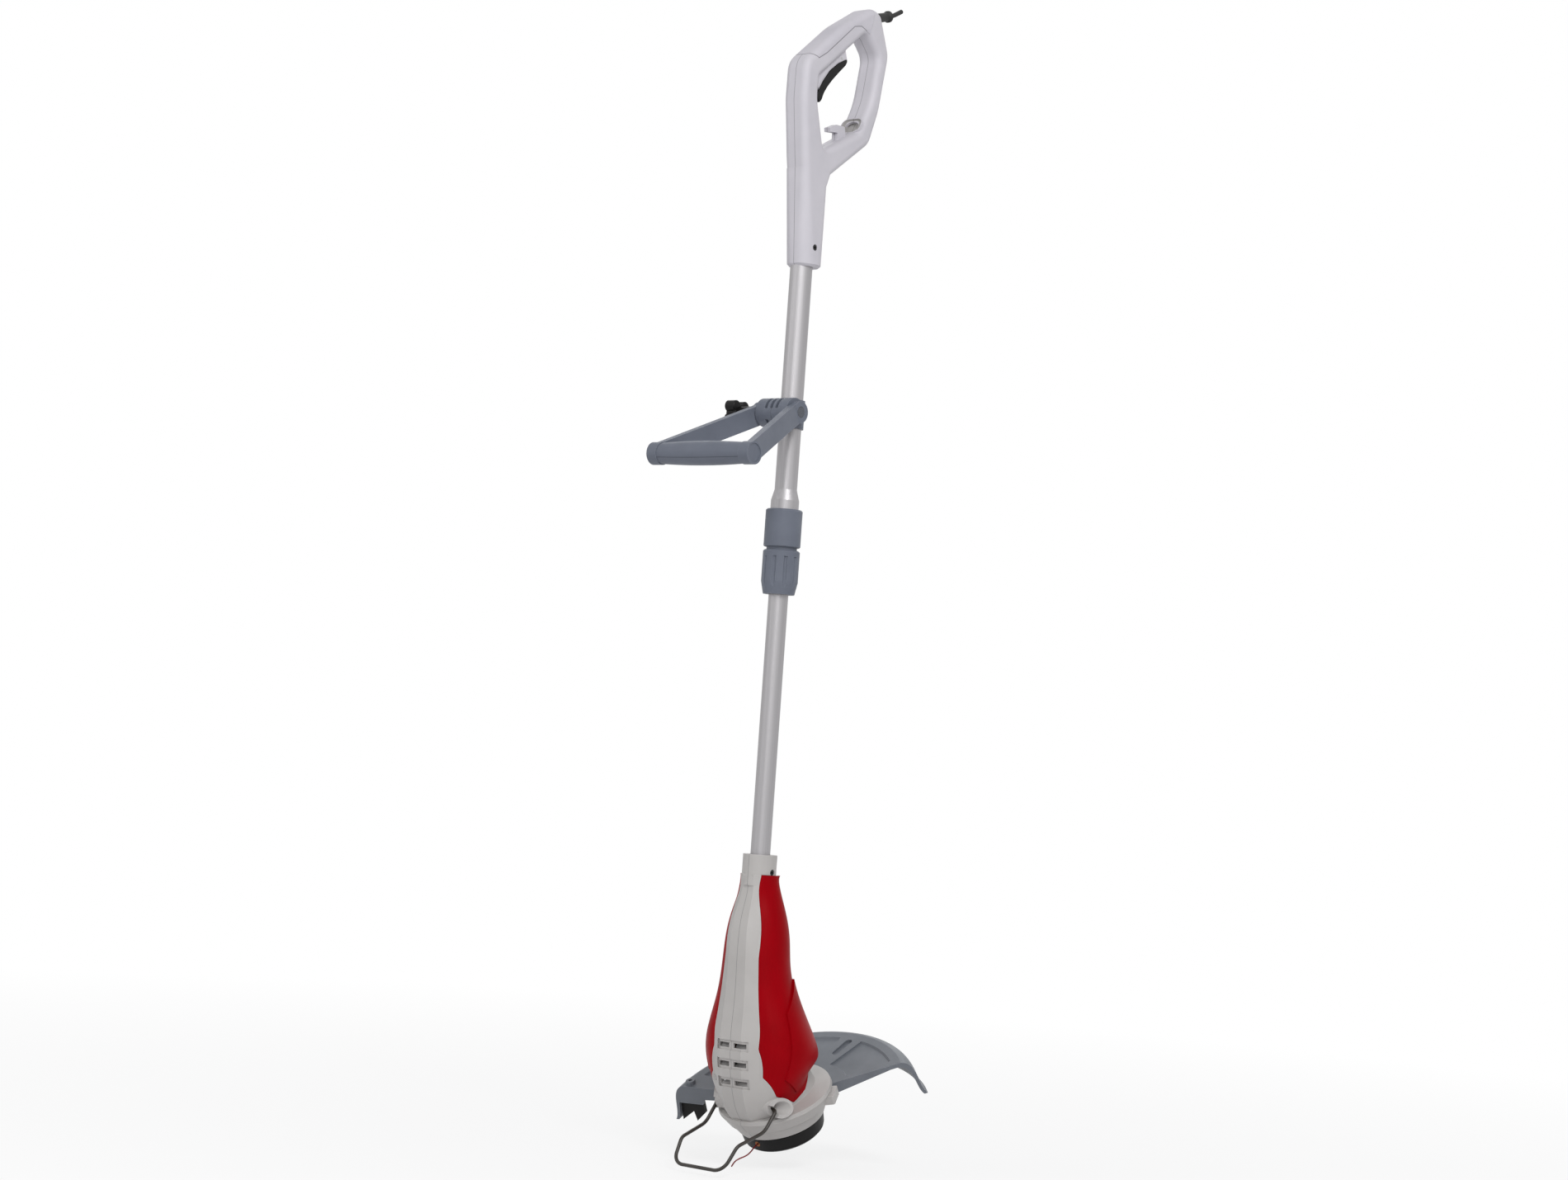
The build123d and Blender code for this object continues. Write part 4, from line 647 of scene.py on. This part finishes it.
# Moulded lip and pocket of the cord eye at the handle's lower rear corner. Heights count
# outwards from the middle, and shares narrow one ring to the next
cordCup = {
    "middle": (0.0, -0.0035, 1.1376),
    "turn": 155.0,
    "wide": 0.0292,
    "high": 0.0204,
    "corner": 0.0082,
    "lip": 0.0066,
    "root": 0.0012,
    "rim": 0.0009,
    "ledge": 0.0049,
    "floor": 0.0004,
    "wall": 0.0008,
    "ring": 0.0001,
    "shoulder": (0.95, 0.93, 1.0),
    "throat": (0.745, 0.87, 1.0),
    "taper": (0.96, 0.95, 1.0),
    "rear": (0.62, 0.62, 1.0),
}


def addCordCup():
    shape = bmesh.new()
    bmesh.ops.create_grid(shape, x_segments=1, y_segments=1, size=0.5)
    bmesh.ops.scale(shape, vec=(cordCup["wide"], cordCup["high"], 1.0), verts=shape.verts[:])
    bmesh.ops.translate(shape, vec=(0, 0, cordCup["lip"]), verts=shape.verts[:])
    bevel(shape, shape.verts[:], cordCup["corner"], segments=10, affect="VERTICES")
    mouth = shape.faces[:]
    skirt = bmesh.ops.extrude_edge_only(shape, edges=openEdges(shape))
    drop = cordCup["root"] - cordCup["lip"]
    bmesh.ops.translate(shape, vec=(0, 0, drop), verts=vertsOf(skirt))
    bmesh.ops.inset_region(shape, faces=mouth, thickness=cordCup["rim"])
    level = cordCup["lip"]
    # The pocket's ledges, walls and floor take the second material, a painted shade grey
    for share, depth in (("shoulder", "ledge"), ("throat", "ledge"), ("taper", "floor")):
        ring = bmesh.ops.inset_region(shape, faces=mouth, thickness=cordCup["ring"])["faces"]
        for face in ring + mouth:
            face.material_index = 1
        inner = list({corner for face in mouth for corner in face.verts})
        bmesh.ops.scale(shape, vec=cordCup[share], verts=inner)
        bmesh.ops.translate(shape, vec=(0, 0, cordCup[depth] - level), verts=inner)
        level = cordCup[depth]
    back = bmesh.ops.extrude_edge_only(shape, edges=openEdges(shape))
    rear = vertsOf(back)
    bmesh.ops.scale(shape, vec=cordCup["rear"], verts=rear)
    drop = cordCup["floor"] - cordCup["wall"] - cordCup["root"]
    bmesh.ops.translate(shape, vec=(0, 0, drop), verts=rear)
    bmesh.ops.contextual_create(shape, geom=openEdges(shape))
    bmesh.ops.recalc_face_normals(shape, faces=shape.faces[:])
    turn = radians(cordCup["turn"])
    out = Vector((0, cos(turn), sin(turn)))
    basis = Matrix((sideways, out.cross(sideways), out)).transposed()
    place = Matrix.Translation(Vector(cordCup["middle"])) @ basis.to_4x4()
    bmesh.ops.transform(shape, matrix=place, verts=shape.verts[:])
    cup = addObject("cord_cup", shape, [handleMaterial, paintedShadeMaterial])
    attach(cup, "upper_unit")


addCordCup()
print("stage: cord cup")

# The free end of the cutting line: its points are across, to the rear and up from the
# head's own middle, in millimetres
headTilt = radians(28.0)
headUp = Vector((0.0, -sin(headTilt), cos(headTilt)))
headRear = Vector((0.0, cos(headTilt), sin(headTilt)))
cuttingLine = {
    "points": [(0, -47, 16.5), (0, -54, 16.3), (2, -62, 16), (1.5, -70, 15.5),
               (-4, -76.5, 15), (-6.5, -83, 14.5), (-4, -91, 14)],
    "diameter": 0.0016,
    "length": 0.0466,
}


def headPlace(x, rear, height):
    return (sideways * x + headRear * rear + headUp * height) / mmPerMetre


def addCuttingLine():
    curve = bpy.data.curves.new("cutting_line", "CURVE")
    curve.dimensions = "3D"
    curve.bevel_depth = cuttingLine["diameter"] / 2
    curve.bevel_resolution = 3
    curve.use_fill_caps = True
    spline = curve.splines.new("NURBS")
    points = [headPlace(*point) for point in cuttingLine["points"]]
    spline.points.add(len(points) - 1)
    for point, place in zip(spline.points, points):
        point.co = (*place, 1.0)
    spline.order_u = 3
    spline.use_endpoint_u = True
    spline.resolution_u = 8
    curve.materials.append(lineMaterial)
    line = bpy.data.objects.new("cutting_line", curve)
    bpy.context.collection.objects.link(line)
    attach(line, "spool_head")
    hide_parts("trimming_line")


addCuttingLine()
print("stage: cutting line")

# Pale floor, studio light and white surroundings
studio = {
    "floorGap": 0.004,
    "floorSize": 40.0,
    "floorColor": (0.86, 0.86, 0.87),
    "floorRough": 0.8,
    "whiteNear": 0.8,
    "whiteFar": 1.0,
    "fade": (0.35, 2.2),
    "worldColor": (1.0, 1.0, 1.0),
    "worldLight": 0.36,
}
lamps = [
    {"name": "keyLamp", "place": (2.8, -1.7, 3.1), "aim": (0.0, -0.05, 0.6),
     "size": 1.5, "power": 70.0},
    {"name": "frontLamp", "place": (1.9, -3.0, 1.6), "aim": (0.0, -0.05, 0.6),
     "size": 0.8, "power": 19.0},
    {"name": "fillLamp", "place": (-1.6, -3.3, 2.2), "aim": (0.0, -0.05, 0.6),
     "size": 2.4, "power": 19.0},
    {"name": "backLamp", "place": (-1.8, 2.6, 2.6), "aim": (0.0, -0.05, 0.7),
     "size": 2.4, "power": 18.0},
]


def whenSeen(tree, rays):
    # 1 for the rays that show the surroundings themselves, 0 for those that carry light
    path = addNode(tree, "ShaderNodeLightPath")
    seen = path.outputs[rays[0]]
    for ray in rays[1:]:
        either = addMath(tree, "MAXIMUM")
        tree.links.new(seen, either.inputs[0])
        tree.links.new(path.outputs[ray], either.inputs[1])
        seen = either.outputs["Value"]
    return seen


def mixShaders(tree, factor, first, second, output):
    mix = addNode(tree, "ShaderNodeMixShader")
    tree.links.new(factor, mix.inputs["Fac"])
    tree.links.new(first, mix.inputs[1])
    tree.links.new(second, mix.inputs[2])
    tree.links.new(mix.outputs["Shader"], tree.nodes[output].inputs["Surface"])


def makeFloorMaterial():
    material = bpy.data.materials.new("paleFloor")
    material.use_nodes = True
    tree = material.node_tree
    shader = tree.nodes["Principled BSDF"]
    shader.inputs["Base Color"].default_value = rgba(studio["floorColor"])
    shader.inputs["Roughness"].default_value = studio["floorRough"]
    white = addNode(tree, "ShaderNodeEmission")
    place = addNode(tree, "ShaderNodeTexCoord")
    distance = addVectorMath(tree, "LENGTH")
    fade = addNode(tree, "ShaderNodeMapRange", values={
        "From Min": studio["fade"][0], "From Max": studio["fade"][1],
        "To Min": studio["whiteNear"], "To Max": studio["whiteFar"],
    })
    share = addMath(tree, "MULTIPLY")
    seen = whenSeen(tree, ["Is Camera Ray", "Is Glossy Ray"])
    tree.links.new(place.outputs["Object"], distance.inputs[0])
    tree.links.new(distance.outputs["Value"], fade.inputs["Value"])
    tree.links.new(seen, share.inputs[0])
    tree.links.new(fade.outputs["Result"], share.inputs[1])
    mixShaders(tree, share.outputs["Value"], shader.outputs["BSDF"], white.outputs["Emission"],
               "Material Output")
    return material


def addFloor():
    shape = bmesh.new()
    bmesh.ops.create_grid(shape, x_segments=1, y_segments=1, size=studio["floorSize"] / 2)
    floor = addObject("floor", shape, [makeFloorMaterial()])
    floor.location.z = cadLow.z - studio["floorGap"]


def addLamps():
    for lamp in lamps:
        data = bpy.data.lights.new(lamp["name"], "AREA")
        data.shape = "DISK"
        data.size = lamp["size"]
        data.energy = lamp["power"]
        light = bpy.data.objects.new(lamp["name"], data)
        light.location = lamp["place"]
        aim = Vector(lamp["aim"]) - Vector(lamp["place"])
        light.rotation_euler = aim.to_track_quat("-Z", "Y").to_euler()
        bpy.context.collection.objects.link(light)


def addWorld():
    world = bpy.data.worlds.new("studio")
    world.use_nodes = True
    tree = world.node_tree
    soft = tree.nodes["Background"]
    soft.inputs["Color"].default_value = rgba(studio["worldColor"])
    soft.inputs["Strength"].default_value = studio["worldLight"]
    white = addNode(tree, "ShaderNodeBackground")
    white.inputs["Color"].default_value = rgba(studio["worldColor"])
    seen = whenSeen(tree, ["Is Camera Ray", "Is Glossy Ray", "Is Transmission Ray"])
    mixShaders(tree, seen, soft.outputs["Background"], white.outputs["Background"], "World Output")
    bpy.context.scene.world = world


addFloor()
addLamps()
addWorld()
bpy.context.scene.view_settings.view_transform = "Standard"
print("stage: studio")
